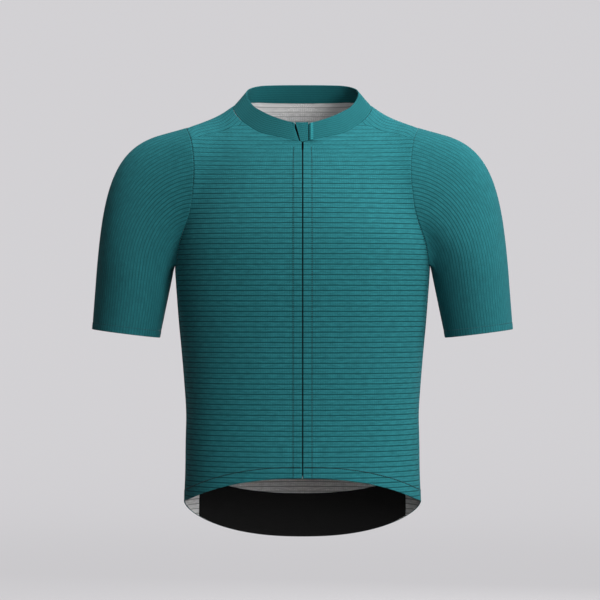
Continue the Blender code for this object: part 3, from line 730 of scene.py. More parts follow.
def zip_grid(top, across, further=0.0):
    """Points behind the front edges, up the body and then the collar to a share of its height."""
    heights = np.linspace(FRONT_HEM_CENTRE + CHAIN_ABOVE_HEM, NECK[-1][2] - CHAIN_BELOW_NECK, CHAIN_STEPS)
    depths = WALL + 2 * LAYER_GAP + further - body_size("front", heights)
    curls = [TAPE_CURL * (x / TAPE[1]) ** 2 for x in across]
    body = [[(x, y + curl, z) for x, curl in zip(across, curls)] for y, z in zip(depths, heights)]
    behind = np.array([0.0, GARAGE_WALL + 2 * LAYER_GAP + further, 0.0])
    ways_up = np.linspace(CHAIN_ON_COLLAR[0], top, COLLAR_STEPS + 1)
    return np.array(body + [[collar_at(x, share) + behind for x in across] for share in ways_up])


def places(cells, fineness):
    """Even places along a grid's side, in cells, with a few more close to both its ends."""
    even = np.linspace(0.0, cells, cells * fineness + 1)
    near = np.array(EDGE_PLACES)
    return np.unique(np.round(np.concatenate([even, near, cells - near]), 4))


def along_rows(grid, at, first=0.0):
    """The grid read smoothly at places between its rows, which are numbered from first on."""
    knots = np.arange(len(grid)) + first
    return smooth(knots, grid.reshape(len(grid), -1), at).reshape(len(at), *grid.shape[1:])


def finer(grid, fineness, before=None, closed=False):
    """The grid read at a finer step both ways. before is the column that lies ahead of its first one."""
    count, first = grid.shape[1], 0.0
    columns = places(count - 1, fineness[1])
    if closed:
        grid, first = np.concatenate([grid[:, -2:], grid, grid[:, :3]], axis=1), -2.0
        columns = np.linspace(0.0, count, count * fineness[1], endpoint=False)
    elif before is not None:
        grid, first = np.concatenate([before[:, None], grid], axis=1), -1.0
    grid = along_rows(grid, places(len(grid) - 1, fineness[0])).transpose(1, 0, 2)
    return along_rows(grid, columns, first).transpose(1, 0, 2)


def run_along(grid, axis):
    """The length along the grid from its first edge, in millimetres."""
    steps = np.linalg.norm(np.diff(grid, axis=axis), axis=-1)
    start = np.zeros_like(np.take(steps, [0], axis=axis))
    return np.concatenate([start, np.cumsum(steps, axis=axis)], axis=axis)


def eased_step(value):
    return value**2 * (3 - 2 * value)


def settled(grid):
    """The grid with the top of its shoulders settled."""
    x, rise = np.array(SETTLE).T
    out = np.clip(np.abs(grid[..., 0]), x[0], x[-1])
    rise = smooth(x, rise[:, None], out.ravel()).reshape(out.shape)
    near_top = ramp(grid[..., 2], SETTLED_FROM, SETTLED_FULLY)
    return grid + (rise * eased_step(near_top))[..., None] * np.array([0.0, 0.0, 1.0])


class Patch:
    """One cloth wall: its outer and inner grids, the outer one's normals, the lengths from its edges, and the
    lengths u and v that its material is laid on."""

    def __init__(self, outer, inner, closed=False):
        self.outer, self.inner, self.closed = settled(outer), settled(inner), closed
        normals = grid_normals(self.outer, closed)
        self.normals = normals * np.sign(np.median(np.sum(normals * (self.outer - self.inner), axis=-1)))
        self.v, self.u = run_along(self.outer, 0), run_along(self.outer, 1)
        self.lengths = {
            "first_row": self.v,
            "last_row": self.v[-1] - self.v,
            "first_column": self.u,
            "last_column": self.u[:, -1:] - self.u,
        }

    def turning(self, edge, depth, rows=slice(None)):
        """Raises the cloth where it is turned under along an edge, and sinks it under the stitching."""
        past = self.lengths[edge] - depth
        raised = TURNING_RISE * ramp(-past, -TURNING_STEP, TURNING_STEP)
        sunk = STITCH_GROOVE * np.exp(-((past / GROOVE_WIDTH) ** 2))
        self.outer = self.outer.copy()
        self.outer[rows] += (self.normals * (raised - sunk)[..., None])[rows]

    def roll(self, edge, depth=SEAM_ROLL):
        """Rolls the cloth in along a seamed edge."""
        near = np.clip(1.0 - self.lengths[edge] / SEAM_ROLL_WIDTH, 0.0, 1.0) ** 2
        self.outer = self.outer - self.normals * (depth * near)[..., None]

    def line(self, edge, depth, rows=slice(None)):
        """The points and normals of a line on the outer face at an even depth from an edge."""
        length, points, normals = self.lengths[edge], self.outer, self.normals
        if edge.endswith("column"):
            length, points, normals = length.T, points.transpose(1, 0, 2), normals.transpose(1, 0, 2)
        place = np.argmax((length[:-1] - depth) * (length[1:] - depth) <= 0, axis=0)
        lane = np.arange(length.shape[1])
        a, b = length[place, lane], length[place + 1, lane]
        share = np.clip((depth - a) / np.where(b == a, 1.0, b - a), 0.0, 1.0)[:, None]
        line = points[place, lane] * (1 - share) + points[place + 1, lane] * share
        return line[rows], unit(normals[place, lane])[rows]

    def mirrored(self):
        twin = copy.copy(self)
        twin.outer, twin.inner, twin.normals = map(mirrored, (self.outer, self.inner, self.normals))
        return twin


def rim_paths(rows, columns, closed, open_rows):
    """A grid's edges as paths of (row, column). The first column's rows before open_rows are left out."""
    if closed:
        return [[(i, j) for j in range(columns + 1)] for i in (0, rows - 1)]
    path = [(0, j) for j in range(columns - 1)] + [(i, columns - 1) for i in range(rows - 1)]
    path += [(rows - 1, j) for j in range(columns - 1, 0, -1)]
    return [path + [(i, 0) for i in range(rows - 1, open_rows - 1, -1)]]


def rim_bulges(i, j, rows, columns, closed, free):
    """How far the rim stands out at each place, as a share of half the wall."""
    edges = {"first_row": i == 0, "last_row": i == rows - 1}
    if not closed:
        edges |= {"first_column": j == 0, "last_column": j == columns - 1}
    tight = np.any([on_it for edge, on_it in edges.items() if edge not in free], axis=0)
    return np.where(tight, SEAMED_BULGE, FREE_BULGE)[:, None]


def add_piece(name, points, faces, materials, node=None, maps=None, sides=None):
    """A piece that rides the jersey, from points in millimetres, with its faces turned outwards. It takes the given
    materials and stands for the solid of the node, which it hides."""
    mesh = bpy.data.meshes.new(name)
    mesh.from_pydata((np.array(points) * MM).tolist(), [], faces)
    if maps:
        mesh.uv_layers.new(name="weave").data.foreach_set("uv", np.array(maps, float).ravel())
        mesh.polygons.foreach_set("material_index", np.array(sides, np.int32))
    for material in materials:
        mesh.materials.append(material)
    build = bmesh.new()
    build.from_mesh(mesh)
    bmesh.ops.recalc_face_normals(build, faces=build.faces)
    build.to_mesh(mesh)
    build.free()
    mesh.shade_smooth()
    piece = linked(name, mesh)
    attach(piece, "root")
    if node:
        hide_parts(node)
    return piece


def linked(name, data):
    new = bpy.data.objects.new(name, data)
    bpy.context.scene.collection.objects.link(new)
    return new


def add_cloth(name, patch, materials, node, free=(), open_rows=0):
    """A closed wall, its outside in the first material and its inside in the last, with rims that are rounder
    at the free edges than where they meet a neighbour."""
    outer, inner, closed = patch.outer, patch.inner, patch.closed
    rows, columns = outer.shape[:2]
    count = rows * columns
    points = [outer.reshape(-1, 3), inner.reshape(-1, 3)]
    faces, maps, sides = [], [], []

    def add(face, spots, side):
        faces.append(face)
        maps.append([(patch.u[i, j] * MM, patch.v[i, j % columns] * MM) for i, j in spots])
        sides.append(min(side, len(materials) - 1))

    for side in (0, 1):
        for i in range(rows - 1):
            for j in range(columns if closed else columns - 1):
                spots = [(i, j), (i, j + 1), (i + 1, j + 1), (i + 1, j)]
                add([side * count + a * columns + b % columns for a, b in spots], spots, side)
    total = 2 * count
    for path in rim_paths(rows, columns, closed, open_rows):
        index = np.array(path[:-1] if closed or not open_rows else path)
        inward = np.clip(index, [1, 0 if closed else 1], [rows - 2, columns if closed else columns - 2])
        if open_rows:
            inward[0], inward[-1] = (1, 0), (open_rows - 1, 0)
        i, j = index.T
        middle, half = (outer[i, j] + inner[i, j]) / 2, (outer[i, j] - inner[i, j]) / 2
        away = unit(outer[i, j] - outer[tuple(inward.T)])
        bulge = np.linalg.norm(half, axis=-1, keepdims=True) * rim_bulges(i, j, rows, columns, closed, free)
        loops = [i * columns + j]
        for step in range(1, RIM_STEPS + 1):
            turn = math.pi * step / (RIM_STEPS + 1)
            points.append(middle + half * math.cos(turn) + away * bulge * math.sin(turn))
            loops.append(total + np.arange(len(index)))
            total += len(index)
        loops.append(count + loops[0])
        for low, high in zip(loops, loops[1:]):
            for n, (here, ahead) in enumerate(zip(path, path[1:])):
                m = (n + 1) % len(index)
                add([int(low[n]), int(low[m]), int(high[m]), int(high[n])], [here, ahead, ahead, here], 0)
    return add_piece(name, np.concatenate(points), faces, materials, node, maps, sides)


def both_sides(line):
    """A line of points and normals, and its fellow on the other side of the middle."""
    return [line, tuple(mirrored(values) for values in line)]


def closed_line(line):
    return tuple(np.concatenate([values, values[:1]]) for values in line)


def add_stitches(name, lines, material, sizes=TOPSTITCH):
    """Rows of single stitches, each a small raised thread that dips into the cloth at both its ends."""
    length, gap, width, height = sizes
    points, faces = [], []
    for line, normals in lines:
        run = run_of(line)
        for start in np.arange(STITCH_MARGIN, run[-1] - length - STITCH_MARGIN, length + gap):
            at = start + length * np.array(STITCH_PLACES)
            spine, lift = read_at(at, run, line), read_at(at, run, normals)
            side = unit(np.cross(spine[-1] - spine[0], lift[1])) * width / 2
            under = spine - lift * STITCH_SINK
            base = len(points)
            points.append(under[0])
            for k in (1, 2):
                points += [spine[k] + side, spine[k] + lift[k] * height, spine[k] - side, under[k]]
            points.append(under[3])
            for k in range(4):
                m = (k + 1) % 4
                faces.append([base, base + 1 + k, base + 1 + m])
                faces.append([base + 1 + k, base + 5 + k, base + 5 + m, base + 1 + m])
                faces.append([base + 9, base + 5 + m, base + 5 + k])
    add_piece(name, points, faces, [material])


class Nodes:
    """A material's node tree, with short calls for the few kinds of node in it."""

    def __init__(self, name, roughness, sheen=0.0, gloss=0.05, metallic=0.0):
        self.material = bpy.data.materials.new(name)
        self.material.use_nodes = True
        self.tree = self.material.node_tree
        self.shader = self.tree.nodes["Principled BSDF"]
        self.feed(self.shader, {
            "Roughness": roughness,
            "Metallic": metallic,
            "Specular IOR Level": gloss,
            "Sheen Weight": sheen,
            "Sheen Roughness": SHEEN_ROUGHNESS,
        })

    def feed(self, node, inputs):
        """Sets a node's inputs to values or links them to sockets."""
        for key, value in inputs.items():
            if isinstance(value, bpy.types.NodeSocket):
                self.tree.links.new(value, node.inputs[key])
            else:
                node.inputs[key].default_value = value

    def node(self, kind, inputs, **settings):
        node = self.tree.nodes.new("ShaderNode" + kind)
        for setting, value in settings.items():
            setattr(node, setting, value)
        self.feed(node, inputs)
        return node

    def math(self, operation, *values):
        return self.node("Math", dict(enumerate(values)), operation=operation).outputs[0]

    def times(self, a, b):
        return self.math("MULTIPLY", a, b)

    def plus(self, a, b):
        return self.math("ADD", a, b)

    def minus(self, a, b):
        return self.math("SUBTRACT", a, b)

    def weave(self):
        """The two lengths of the cloth's own map, in metres."""
        split = self.node("SeparateXYZ", {0: self.node("UVMap", {}, uv_map="weave").outputs[0]})
        return split.outputs[0], split.outputs[1]

    def spot(self):
        """A point's own place, in metres."""
        return self.node("TexCoord", {}).outputs["Object"]

    def place(self, axis):
        return self.node("SeparateXYZ", {0: self.spot()}).outputs[axis]

    def step(self, value, low, high):
        """0 below low and 1 above high, with a smooth rise between them."""
        inputs = {"Value": value, "From Min": low, "From Max": high}
        return self.node("MapRange", inputs, interpolation_type="SMOOTHSTEP").outputs["Result"]

    def lines(self, length, period, half_width, softness, offset=0.0):
        """1 on lines that lie a period apart and 0 between them. All but the offset are in metres."""
        place = self.math("FRACT", self.math("MULTIPLY_ADD", length, 1 / period, offset))
        near = self.math("ABSOLUTE", self.minus(place, 0.5))
        middle = 0.5 - half_width / period
        return self.step(near, middle - softness / period, middle + softness / period)

    def noise(self, u, v, scale, detail=2.0, stretch=1.0):
        """Soft noise laid on the cloth's own map."""
        join = self.node("CombineXYZ", {0: u, 1: self.times(v, stretch)})
        return self.node("TexNoise", {"Scale": scale, "Detail": detail, "Vector": join.outputs[0]}).outputs["Fac"]

    def mix(self, share, a, b):
        return self.node("Mix", {"Factor": share, "A": a, "B": b}, data_type="RGBA").outputs["Result"]

    def tones(self, share, colour, low, high):
        """The colour from its low tone at a share of 0 to its high one at 1."""
        return self.mix(share, shaded(colour, low), shaded(colour, high))

    def finish(self, colour, height=None, depth=BUMP_DEPTH):
        self.feed(self.shader, {"Base Color": colour})
        if height is not None:
            bump = self.node("Bump", {"Strength": BUMP_STRENGTH, "Distance": depth, "Height": height})
            self.feed(self.shader, {"Normal": bump.outputs[0]})
        return self.material


def shaded(colour, share):
    return (*(c * share for c in colour[:3]), 1.0)


def striped_knit(name, colour, line_share, period, sleeve=False):
    """Fine knit with a strong and a faint sunk line by turns, fine ribs across them and a faint melange. The
    lines keep line_share of the colour. Where the light fades say, they are drawn fainter and shallower, painted
    light and shade that hides them towards the shoulder, and on a sleeve along its outside and under the arm. A
    sleeve's run lengthwise."""
    n = Nodes(name, KNIT_ROUGHNESS, KNIT_SHEEN)
    u, v = n.weave()
    along, over = (u, v) if sleeve else (v, u)
    strong = n.lines(along, period, LINE_WIDTH, LINE_SOFTNESS)
    faint = n.lines(along, period, LINE_WIDTH / 2, LINE_SOFTNESS, 0.5)
    rib = n.lines(over, *RIB)
    loops = n.lines(over, *LOOP)
    courses = n.lines(along, period / COURSES_IN_PERIOD, *COURSE)
    lines = n.math("MAXIMUM", strong, n.times(faint, FAINT_LINE))
    lengths = {"height": n.place("Z"), "out": n.math("ABSOLUTE", n.place("X"))}
    # Painted light: the fades draw the lines fainter towards the shoulder and along a sleeve's outside, where light
    # washes them out, and under the arm, where shade hides them
    light_fade = 0.0
    for amount, *ramps in SLEEVE_LIGHT_FADES if sleeve else BODY_LIGHT_FADES:
        for length, low, high in ramps:
            amount = n.times(n.step(lengths[length], low, high), amount)
        light_fade = n.plus(amount, light_fade)
    lines = n.times(lines, n.minus(1.0, light_fade))
    texture = n.math("MAXIMUM", n.times(rib, TEXTURE_SHARE * 2), n.times(courses, TEXTURE_SHARE))
    uneven = n.plus(n.times(n.noise(over, along, *MELANGE), 0.5), n.times(n.noise(over, along, *STREAKS), 0.5))
    tone = n.tones(n.step(uneven, *MELANGE_SPAN), colour, *MELANGE_TONES)
    cloud = n.times(n.step(n.noise(u, v, CLOUD), *CLOUD_SPAN), CLOUD_SHARE)
    tone = n.mix(cloud, tone, shaded(colour, CLOUD_TONE))
    tone = n.mix(n.math("MAXIMUM", lines, texture), tone, shaded(colour, line_share))
    return n.finish(tone, n.minus(n.times(n.plus(loops, texture), -TEXTURE_DEPTH), lines))


def plain_knit(name, colour):
    """Fine plain knit: small loops in rows, with a faint melange."""
    n = Nodes(name, KNIT_ROUGHNESS, TRIM_SHEEN)
    u, v = n.weave()
    wales, courses = n.times(n.lines(u, *PLAIN_WALE), PLAIN_WALE_DEPTH), n.lines(v, *PLAIN_COURSE)
    dips = n.times(n.plus(wales, courses), PLAIN_DEPTH)
    melange = n.times(n.minus(n.noise(u, v, *PLAIN_MELANGE), PLAIN_MELANGE_LOW), PLAIN_MELANGE_SHARE)
    share = n.step(n.plus(n.times(dips, PLAIN_DIP_SHARE), melange), *PLAIN_SPAN)
    return n.finish(n.tones(share, colour, *PLAIN_TONES), n.times(dips, -1.0), FINE_BUMP)


def ribbed_elastic(name, colour):
    """Woven elastic: fine ridges along the band, crossed by finer threads."""
    n = Nodes(name, roughness=0.7, sheen=TRIM_SHEEN)
    u, v = n.weave()
    dips = n.plus(n.lines(v, *ELASTIC_RIDGE), n.times(n.lines(u, *ELASTIC_THREAD), ELASTIC_THREAD_DEPTH))
    tone = n.tones(n.times(n.noise(u, v, ELASTIC_FUZZ), ELASTIC_FUZZ_SHARE), colour, *ELASTIC_TONES)
    tone = n.mix(n.times(dips, ELASTIC_DIP_SHARE), tone, shaded(colour, ELASTIC_DIP_TONE))
    return n.finish(tone, n.times(dips, -1.0), ELASTIC_BUMP)


def woven_tape(name, colour):
    """Zip tape: a fine herringbone of dark threads."""
    n = Nodes(name, roughness=0.85, sheen=0.01)
    u, v = n.weave()
    ridges = n.lines(n.plus(n.math("PINGPONG", u, HERRINGBONE_WIDTH), v), *HERRINGBONE)
    tone = n.tones(n.times(ridges, HERRINGBONE_SHARE), colour, *HERRINGBONE_TONES)
    return n.finish(tone, n.times(ridges, -1.0), FINE_BUMP)


def hard_finish(name, colour, roughness, metallic, grain, gloss=0.5):
    """A lacquered or moulded surface with a faint unevenness in its gloss."""
    n = Nodes(name, roughness, gloss=gloss, metallic=metallic)
    noise = n.node("TexNoise", {"Scale": grain, "Vector": n.spot()}).outputs["Fac"]
    least = roughness - GLOSS_SPREAD / 2
    n.feed(n.shader, {"Roughness": n.math("MULTIPLY_ADD", noise, GLOSS_SPREAD, least)})
    return n.finish(n.tones(noise, colour, *HARD_TONES))


def thread(name, colour, lower=None):
    """Sewing thread: two plies twisted along the stitch. Where a seam goes down to the underarm, its thread
    takes the lower colour there."""
    n = Nodes(name, roughness=0.6, sheen=0.05)
    wave = n.node("TexWave", {"Scale": THREAD_TWIST, "Vector": n.spot()}, bands_direction="DIAGONAL")
    tone = n.tones(wave.outputs["Fac"], colour, *THREAD_TONES)
    if lower:
        tone = n.mix(n.step(n.place("Z"), *LOWER_THREAD), shaded(lower, 1.0), tone)
    return n.finish(tone)


def level_run(side, heights):
    """The cloth's own length up the middle of the front or back to each height."""
    profile = centre_line(side, np.linspace(BODY[0][0], BODY[-1][0], PROFILE_POINTS))
    return np.interp(heights, profile[:, 2], run_of(profile))


def front_stripes(patch):
    """Level stripes that rise a little beside the shoulder."""
    x, z = patch.outer[..., 0], patch.outer[..., 2]
    closer = CLOSER_BY * np.clip(z - CLOSER_ABOVE, 0.0, None) + WIDER_BY * np.clip(WIDER_BELOW - z, 0.0, None)
    rise = SIDE_RISE * ramp(z, *RISE_SPAN) ** 2 * (x / RISE_REACH) ** 2
    patch.v = level_run("front", z) + closer - rise


def back_stripes(patch):
    """Level stripes that turn over the shoulder to lie along its slope."""
    x, y, z = np.moveaxis(patch.outer, -1, 0)
    high = ramp(z, *SLOPE_HEIGHTS)
    slope = SLOPE_ALONG_SHOULDER * eased_step(ramp(y, *SLOPE_DEPTHS) * high)
    over = (ramp(y, *OVER_DEPTHS) * high)[1:]
    level = level_run("back", z) + slope * (np.abs(x) - SLOPE_FROM)
    steps = np.diff(level, axis=0) * (1 - over) + np.diff(patch.v, axis=0) * over
    patch.v = np.cumsum(np.concatenate([level[:1], steps]), axis=0)


def fine_row(row, grid, fineness):
    """The number that a grid's row has in its finer reading."""
    return int(np.argmin(np.abs(places(len(grid) - 1, fineness[0]) - row)))


def front_patch(jersey):
    """The wearer's left front, and the number of its row at the neck."""
    fine = []
    for grid in jersey.faces("front", ("last_row", "first_column")):
        grid[: FRONT_NECK_ROW + 1, 0, 0] = FRONT_EDGE
        fine.append(finer(grid, FRONT_FINENESS))
        fine[-1][..., 0] = np.maximum(fine[-1][..., 0], FRONT_EDGE)
    patch = Patch(*fine)
    front_stripes(patch)
    return patch, fine_row(FRONT_NECK_ROW, grid, FRONT_FINENESS)


def back_patch(jersey):
    """The wearer's left half of the back, and the number of its row at the neck."""
    neck_row = fine_row(BACK_NECK_ROW, jersey.grids["back"], BACK_FINENESS)
    below = slice(0, BACK_NECK_ROW + 1)
    fine = []
    for grid in jersey.faces("back", ("last_row",)):
        grid[BACK_NECK_ROW:, 0] = pulled_in(grid, ("first_column",))[BACK_NECK_ROW:, 0]
        grid[BACK_NECK_ROW, 0] += unit(grid[BACK_NECK_ROW - 1, 0] - grid[BACK_NECK_ROW, 0]) * SEAM_GAP / 2
        grid[below, 0, 0] = 0.0
        before = 2 * grid[:, 0] - grid[:, 1]
        before[below] = mirrored(grid[below, 1])
        fine.append(finer(grid, BACK_FINENESS, before))
        fine[-1][: neck_row + 1, 0, 0] = 0.0
    patch = Patch(*fine)
    back_stripes(patch)
    return patch, neck_row


def sleeve_stripes(jersey):
    """The distance across the stripes to each point of the sleeve. They leave the armhole nearly level and bend
    round the underarm to run down the arm. The distances are those whose slope is nearest to this all over."""
    grid, normals = (np.concatenate([g, g[:, :1]], axis=1) for g in (jersey.sleeve, jersey.sleeve_normals))
    outwards = np.maximum(grid[..., 0] - STRIPE_BEND[0], NEAREST_TO_BEND)
    above = np.maximum(grid[..., 2] - STRIPE_BEND[1], 0.0)
    along = np.stack([STRIPE_BEND_SHARE * above + STRIPE_LEAN * outwards, 0 * above, -outwards], axis=-1)
    along = unit(along - normals * np.sum(along * normals, axis=-1, keepdims=True))
    most, reach, least = SPREAD_OUTWARDS
    near = ramp(above, 0.0, SPREAD_ABOVE) * np.clip(most - outwards / reach, least, 1.0)
    across = np.cross(normals, along) * (1 - STRIPE_SPREAD * near)[..., None]
    number = np.arange(grid[..., 0].size).reshape(grid.shape[:2])
    rows, wanted = [], []
    for a, b in ((np.s_[:-1], np.s_[1:]), (np.s_[:, :-1], np.s_[:, 1:])):
        step = grid[b] - grid[a]
        weight = 1 / np.linalg.norm(step, axis=-1).ravel()
        block = np.zeros((len(weight), number.size))
        block[np.arange(len(weight)), number[b].ravel()] = weight
        block[np.arange(len(weight)), number[a].ravel()] = -weight
        rows.append(block)
        wanted.append(np.sum((across[a] + across[b]) / 2 * step, axis=-1).ravel() * weight)
    run = np.linalg.lstsq(np.concatenate(rows), np.concatenate(wanted), rcond=None)[0]
    return run.reshape(number.shape)


def sleeve_patch(jersey):
    faces = (jersey.sleeve.copy(), jersey.sleeve - jersey.sleeve_normals * WALL)
    for face in faces:
        face[0] += jersey.out_of_armhole * SEAM_GAP / 2
    patch = Patch(*(finer(face, SLEEVE_FINENESS, closed=True) for face in faces), closed=True)
    run = sleeve_stripes(jersey)
    run = along_rows(run, places(len(run) - 1, SLEEVE_FINENESS[0])).T
    columns = np.linspace(0.0, len(run) - 1, (len(run) - 1) * SLEEVE_FINENESS[1] + 1)
    patch.u = along_rows(run, columns).T
    return patch


def collar_patch(jersey):
    grid, normals = joined_halves(*jersey.collars), joined_halves(*jersey.collar_normals)
    faces = (grid, grid - normals * COLLAR_WALL)
    for face in faces:
        face[0] += unit(face[1] - face[0]) * COLLAR_CLEARANCE
    return Patch(*(finer(face, COLLAR_FINENESS) for face in faces))


def layer_patch(jersey, heights, rows, reach=0.0):
    """A layer on the middle of the back, out to a share of a column past the trims' last one. Its outer and
    inner faces stand at the given heights off the cloth."""
    halves = []
    for grid in (jersey.grids["back"][rows], jersey.normals["back"][rows]):
        half = grid[:, : TRIM_COLUMNS + 1].copy()
        half[:, -1] += (grid[:, TRIM_COLUMNS + 1] - half[:, -1]) * reach
        halves.append(joined_halves(half, half))
    return Patch(*(finer(halves[0] + halves[1] * height, TRIM_FINENESS) for height in heights))


def strip_patch(grid, thickness, fineness=ZIP_FINENESS):
    return Patch(finer(grid, fineness), finer(grid + np.array([0.0, thickness, 0.0]), fineness))


def collar_strip(span, low, high, columns, proud, thickness):
    """A strip up the collar, whose sides are at the distances low from the middle at its foot and high at its
    top."""
    grid = []
    for share in np.linspace(*span, COLLAR_STEPS + 1):
        left, right = (a + (b - a) * share for a, b in zip(low, high))
        grid.append([collar_at(x, share) - (0.0, proud, 0.0) for x in np.linspace(left, right, columns)])
    return strip_patch(np.array(grid), thickness, TRIM_FINENESS)


def add_teeth(material):
    """The interlocked teeth of both tapes, one after the other up the front."""
    spine = zip_grid(CHAIN_ON_COLLAR[1], [0.0])[:, 0]
    run = run_of(spine)
    count = len(TOOTH)
    points, faces = [], []
    for number, place in enumerate(np.arange(TOOTH_MARGIN, run[-1] - TOOTH_MARGIN, TOOTH_PITCH / 2)):
        side = 1.0 if number % 2 else -1.0
        here, ahead = (read_at(at, run, spine) for at in (place, place + TOOTH_PITCH / 3))
        up = unit(ahead - here)
        near, far, middle = (len(points) + count * layer for layer in range(3))
        for depth, share in TOOTH_LAYERS:
            points += [here + (side * x, depth, 0.0) + up * along_zip * share for x, along_zip in TOOTH]
        for k in range(count):
            m = (k + 1) % count
            faces.append([near + k, near + m, middle + m, middle + k])
            faces.append([middle + k, middle + m, far + m, far + k])
        faces.append([near + k for k in range(count)][::-1])
        faces.append([far + k for k in range(count)])
    piece = add_piece("zip_teeth", points, faces, [material], "zip_chain")
    piece.data.set_sharp_from_angle(angle=SHARP_ANGLE)


def add_camera():
    data = bpy.data.cameras.new("camera")
    data.sensor_width = SENSOR_WIDTH
    data.lens = SENSOR_WIDTH * -CAMERA[1] / FRAME_WIDTH
    data.clip_end = 50.0
    camera = linked("camera", data)
    camera.location = CAMERA
    camera.rotation_euler = (math.radians(90.0), 0.0, 0.0)
    bpy.context.scene.camera = camera


def add_area_light(name, place, target, size, power, spread=180.0):
    data = bpy.data.lights.new(name, "AREA")
    data.shape = "DISK"
    data.size = size
    data.energy = power
    data.spread = math.radians(spread)
    light = linked(name, data)
    light.location = place
    light.rotation_euler = (Vector(target) - Vector(place)).to_track_quat("-Z", "Y").to_euler()
    light.visible_camera = False


def studio_paper():
    """Matt paper that glows a little, and less on the floor round the middle."""
    n = Nodes("studio_paper", 1.0, gloss=0.0)
    x, y = n.place("X"), n.place("Y")
    out_squared = n.math("MULTIPLY_ADD", x, x, n.times(y, y))
    glow = n.math("MULTIPLY_ADD", n.step(out_squared, *GLOW_RISE), 1 - GLOW_LOW, GLOW_LOW)
    n.feed(n.shader, {"Emission Color": (*PAPER_GLOW, 1.0), "Emission Strength": glow})
    return n.finish((*PAPER, 1.0))


def add_studio():
    """A pale floor that runs up all round into a pale dome, and soft lamps, most of them from the upper right."""
    profile = [(0.01, 0.0)]
    for a in np.linspace(0, math.pi / 2, FLOOR_STEPS):
        profile.append((DOME_RADIUS - FLOOR_CURVE * (1 - math.sin(a)), FLOOR_CURVE * (1 - math.cos(a))))
    for a in np.linspace(*DOME_ANGLES):
        profile.append((DOME_RADIUS * math.cos(a), FLOOR_CURVE + DOME_RADIUS * math.sin(a)))
    turns = np.linspace(0, 2 * math.pi, DOME_SIDES, endpoint=False)
    points = [(r * math.cos(a), r * math.sin(a), FLOOR_HEIGHT + z) for r, z in profile for a in turns]
    faces = []
    for low in range(0, (len(profile) - 1) * DOME_SIDES, DOME_SIDES):
        for j in range(DOME_SIDES):
            k = (j + 1) % DOME_SIDES
            faces.append((low + j, low + DOME_SIDES + j, low + DOME_SIDES + k, low + k))
    faces.append(range(DOME_SIDES))
    mesh = bpy.data.meshes.new("floor")
    mesh.from_pydata(points, [], faces)
    mesh.shade_smooth()
    mesh.materials.append(studio_paper())
    floor = linked("floor", mesh)
    floor.visible_diffuse = False
    world = bpy.data.worlds.new("studio")
    world.use_nodes = True
    world.node_tree.nodes["Background"].inputs["Color"].default_value = (*SURROUNDINGS, 1.0)
    bpy.context.scene.world = world
    for lamp in LAMPS:
        add_area_light(*lamp)


def add_body(jersey):
    """The fronts and the back, with the stitching on their hems, at the zip and down the side seams."""
    outside = striped_knit("striped_knit", TEAL, line_share=0.30, period=STRIPE)
    knits = (outside, striped_knit("knit_inside", INSIDE_GREY, line_share=0.38, period=STRIPE))
    front, neck_row = front_patch(jersey)
    by_zip = slice(0, neck_row + 1)
    front.turning("first_row", HEM_DEPTH)
    front.turning("first_column", PLACKET_DEPTH, by_zip)
    back, neck_row = back_patch(jersey)
    back.turning("first_row", HEM_DEPTH)
    for patch in (front, back):
        patch.roll("last_column")
        patch.roll("last_row", SHOULDER_ROLL)
    for name, patch in (("front_left", front), ("front_right", front.mirrored())):
        add_cloth(name + "_cloth", patch, knits, name, ("first_row", "first_column"))
    half = add_cloth("back_cloth", back, knits, "back", ("first_row",), neck_row)
    half.modifiers.new("other half", "MIRROR").merge_threshold = MERGE_DISTANCE
    gap = -(WALL + LAYER_GAP)
    gripper = layer_patch(jersey, (gap, gap - TRIM_WALL), slice(0, GRIPPER_STEPS + 1), GRIPPER_REACH)
    elastic = ribbed_elastic("gripper_elastic", BLACK)
    add_cloth("gripper_band", gripper, [elastic], "hem_gripper")
    pockets = layer_patch(jersey, (LAYER_GAP + WALL, LAYER_GAP), slice(*POCKET_ROWS))
    pockets.v = level_run("back", pockets.outer[..., 2])
    pockets.turning("last_row", POCKET_TOP_DEPTH)
    add_cloth("pocket_panel", pockets, knits, "back_pockets")

    underarm = int(np.argmin(np.abs(front.outer[:, -1, 2] - UNDERARM_HEIGHT)))
    placket = both_sides(front.line("first_column", PLACKET_DEPTH, by_zip))
    pocket_top = pockets.line("last_row", POCKET_TOP_DEPTH)
    hems = both_sides(front.line("first_row", HEM_DEPTH)) + both_sides(back.line("first_row", HEM_DEPTH))
    sides = both_sides(front.line("last_column", SIDE_STITCH_DEPTH, slice(0, underarm)))
    # The topstitching and hem threads are near-black, partly painted shade of the grooves and the turned hem's edge
    teal, seam, side = (thread(*finish) for finish in BODY_THREADS)
    add_stitches("topstitching", placket + [pocket_top], teal)
    add_stitches("hem_stitching", hems, seam, HEM_STITCH)
    add_stitches("side_stitching", sides, side)


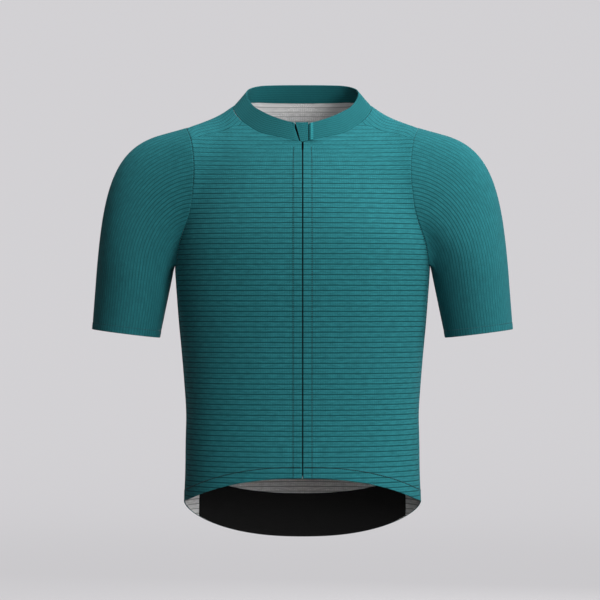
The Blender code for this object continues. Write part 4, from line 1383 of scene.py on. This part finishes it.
def add_sleeves(jersey):
    knits = (
        striped_knit("sleeve_knit", SLEEVE_TEAL, line_share=0.48, period=SLEEVE_STRIPE, sleeve=True),
        striped_knit("sleeve_knit_inside", INSIDE_GREY, line_share=0.5, period=SLEEVE_STRIPE, sleeve=True),
    )
    sleeve = sleeve_patch(jersey)
    sleeve.turning("last_row", CUFF_DEPTH)
    sleeve.roll("first_row")
    for name, patch in (("sleeve_left", sleeve), ("sleeve_right", sleeve.mirrored())):
        add_cloth(name + "_cloth", patch, knits, name, ("last_row",))
    # Painted shade: the armhole seams are drawn as dark lines of thread in their grooves, near-black on the
    # wearer's right, which lies in shade, and paler on the lit left
    pale = thread("sleeve_thread_lit_seam", SLEEVE_STITCH_TEAL)
    # Below the underarm the shaded seam's painted line turns sleeve teal, where the sleeve's own shading takes over
    seam_shade = thread("armhole_shade_thread", SEAM_SHADE_TEAL, SLEEVE_TEAL)
    cuffs = both_sides(closed_line(sleeve.line("last_row", CUFF_DEPTH)))
    left, right = both_sides(closed_line((sleeve.outer[0], sleeve.normals[0])))
    add_stitches("cuff_stitching", cuffs, pale)
    add_stitches("armhole_seam_shade_left", [left], pale, SEAM_SHADE_LINE)
    add_stitches("armhole_seam_shade_right", [right], seam_shade, SEAM_SHADE_LINE)


def add_collar(jersey):
    """The collar, and the garage and the turned strip at its front end."""
    knit = plain_knit("collar_knit", COLLAR_TEAL)
    # Painted light: the collar's inside is the same knit toned apart from its outside, to match how light falls
    # inside the neck
    inside = plain_knit("collar_knit_inside", shaded(COLLAR_TEAL, COLLAR_INSIDE_LIGHT_TONE))
    # Painted highlight: the turned strip's knit is a lighter copy of the collar's, for the light its raised edge
    # catches
    fold_highlight_knit = plain_knit("fold_highlight_knit", shaded(COLLAR_TEAL, FOLD_HIGHLIGHT_TONE))
    collar = collar_patch(jersey)
    collar.roll("first_row", COLLAR_ROLL)
    add_cloth("collar_cloth", collar, (knit, inside), "collar", ("last_row",))
    garage = collar_strip(GARAGE_SPAN, *GARAGE_OUTLINE, GARAGE_COLUMNS, GARAGE_PROUD, GARAGE_WALL)
    add_cloth("garage_cloth", garage, [knit], "zip_garage")
    fold = collar_strip(FOLD_SPAN, FOLD_WIDTH, FOLD_WIDTH, FOLD_COLUMNS, LAYER_GAP + TRIM_WALL, TRIM_WALL)
    add_cloth("fold_cloth", fold, [fold_highlight_knit], "garage_fold")


def add_zip():
    """The tapes and the teeth on their cord. The slider and the pull are the solids themselves."""
    lacquer = hard_finish("slider_lacquer", TAPE_DARK, roughness=0.4, metallic=0.3, grain=1500.0)
    for node in ("zip_slider", "zip_pull"):
        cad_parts[node].data.materials[0] = lacquer
    woven = [woven_tape("zip_tape", TAPE_DARK)]
    for name, sign in (("zip_tape_left", 1), ("zip_tape_right", -1)):
        across = [sign * x for x in (TAPE[0], sum(TAPE) / 2, TAPE[1])]
        tape = strip_patch(zip_grid(TAPE_TOP, across), TRIM_WALL)
        add_cloth(name + "_woven", tape, woven, name)
    add_teeth(hard_finish("zip_coil", TEETH_DARK, roughness=0.75, metallic=0.0, grain=3000.0, gloss=0.05))
    cord = zip_grid(CHAIN_ON_COLLAR[1], (-CORD_WIDTH / 2, CORD_WIDTH / 2), CORD_DEPTH)
    add_cloth("zip_cord", strip_patch(cord, CORD_THICKNESS), woven, "zip_chain")


def main():
    add_camera()
    bpy.context.scene.view_settings.view_transform = "Standard"
    jersey = Jersey()
    add_body(jersey)
    add_sleeves(jersey)
    add_collar(jersey)
    add_zip()
    add_studio()


main()
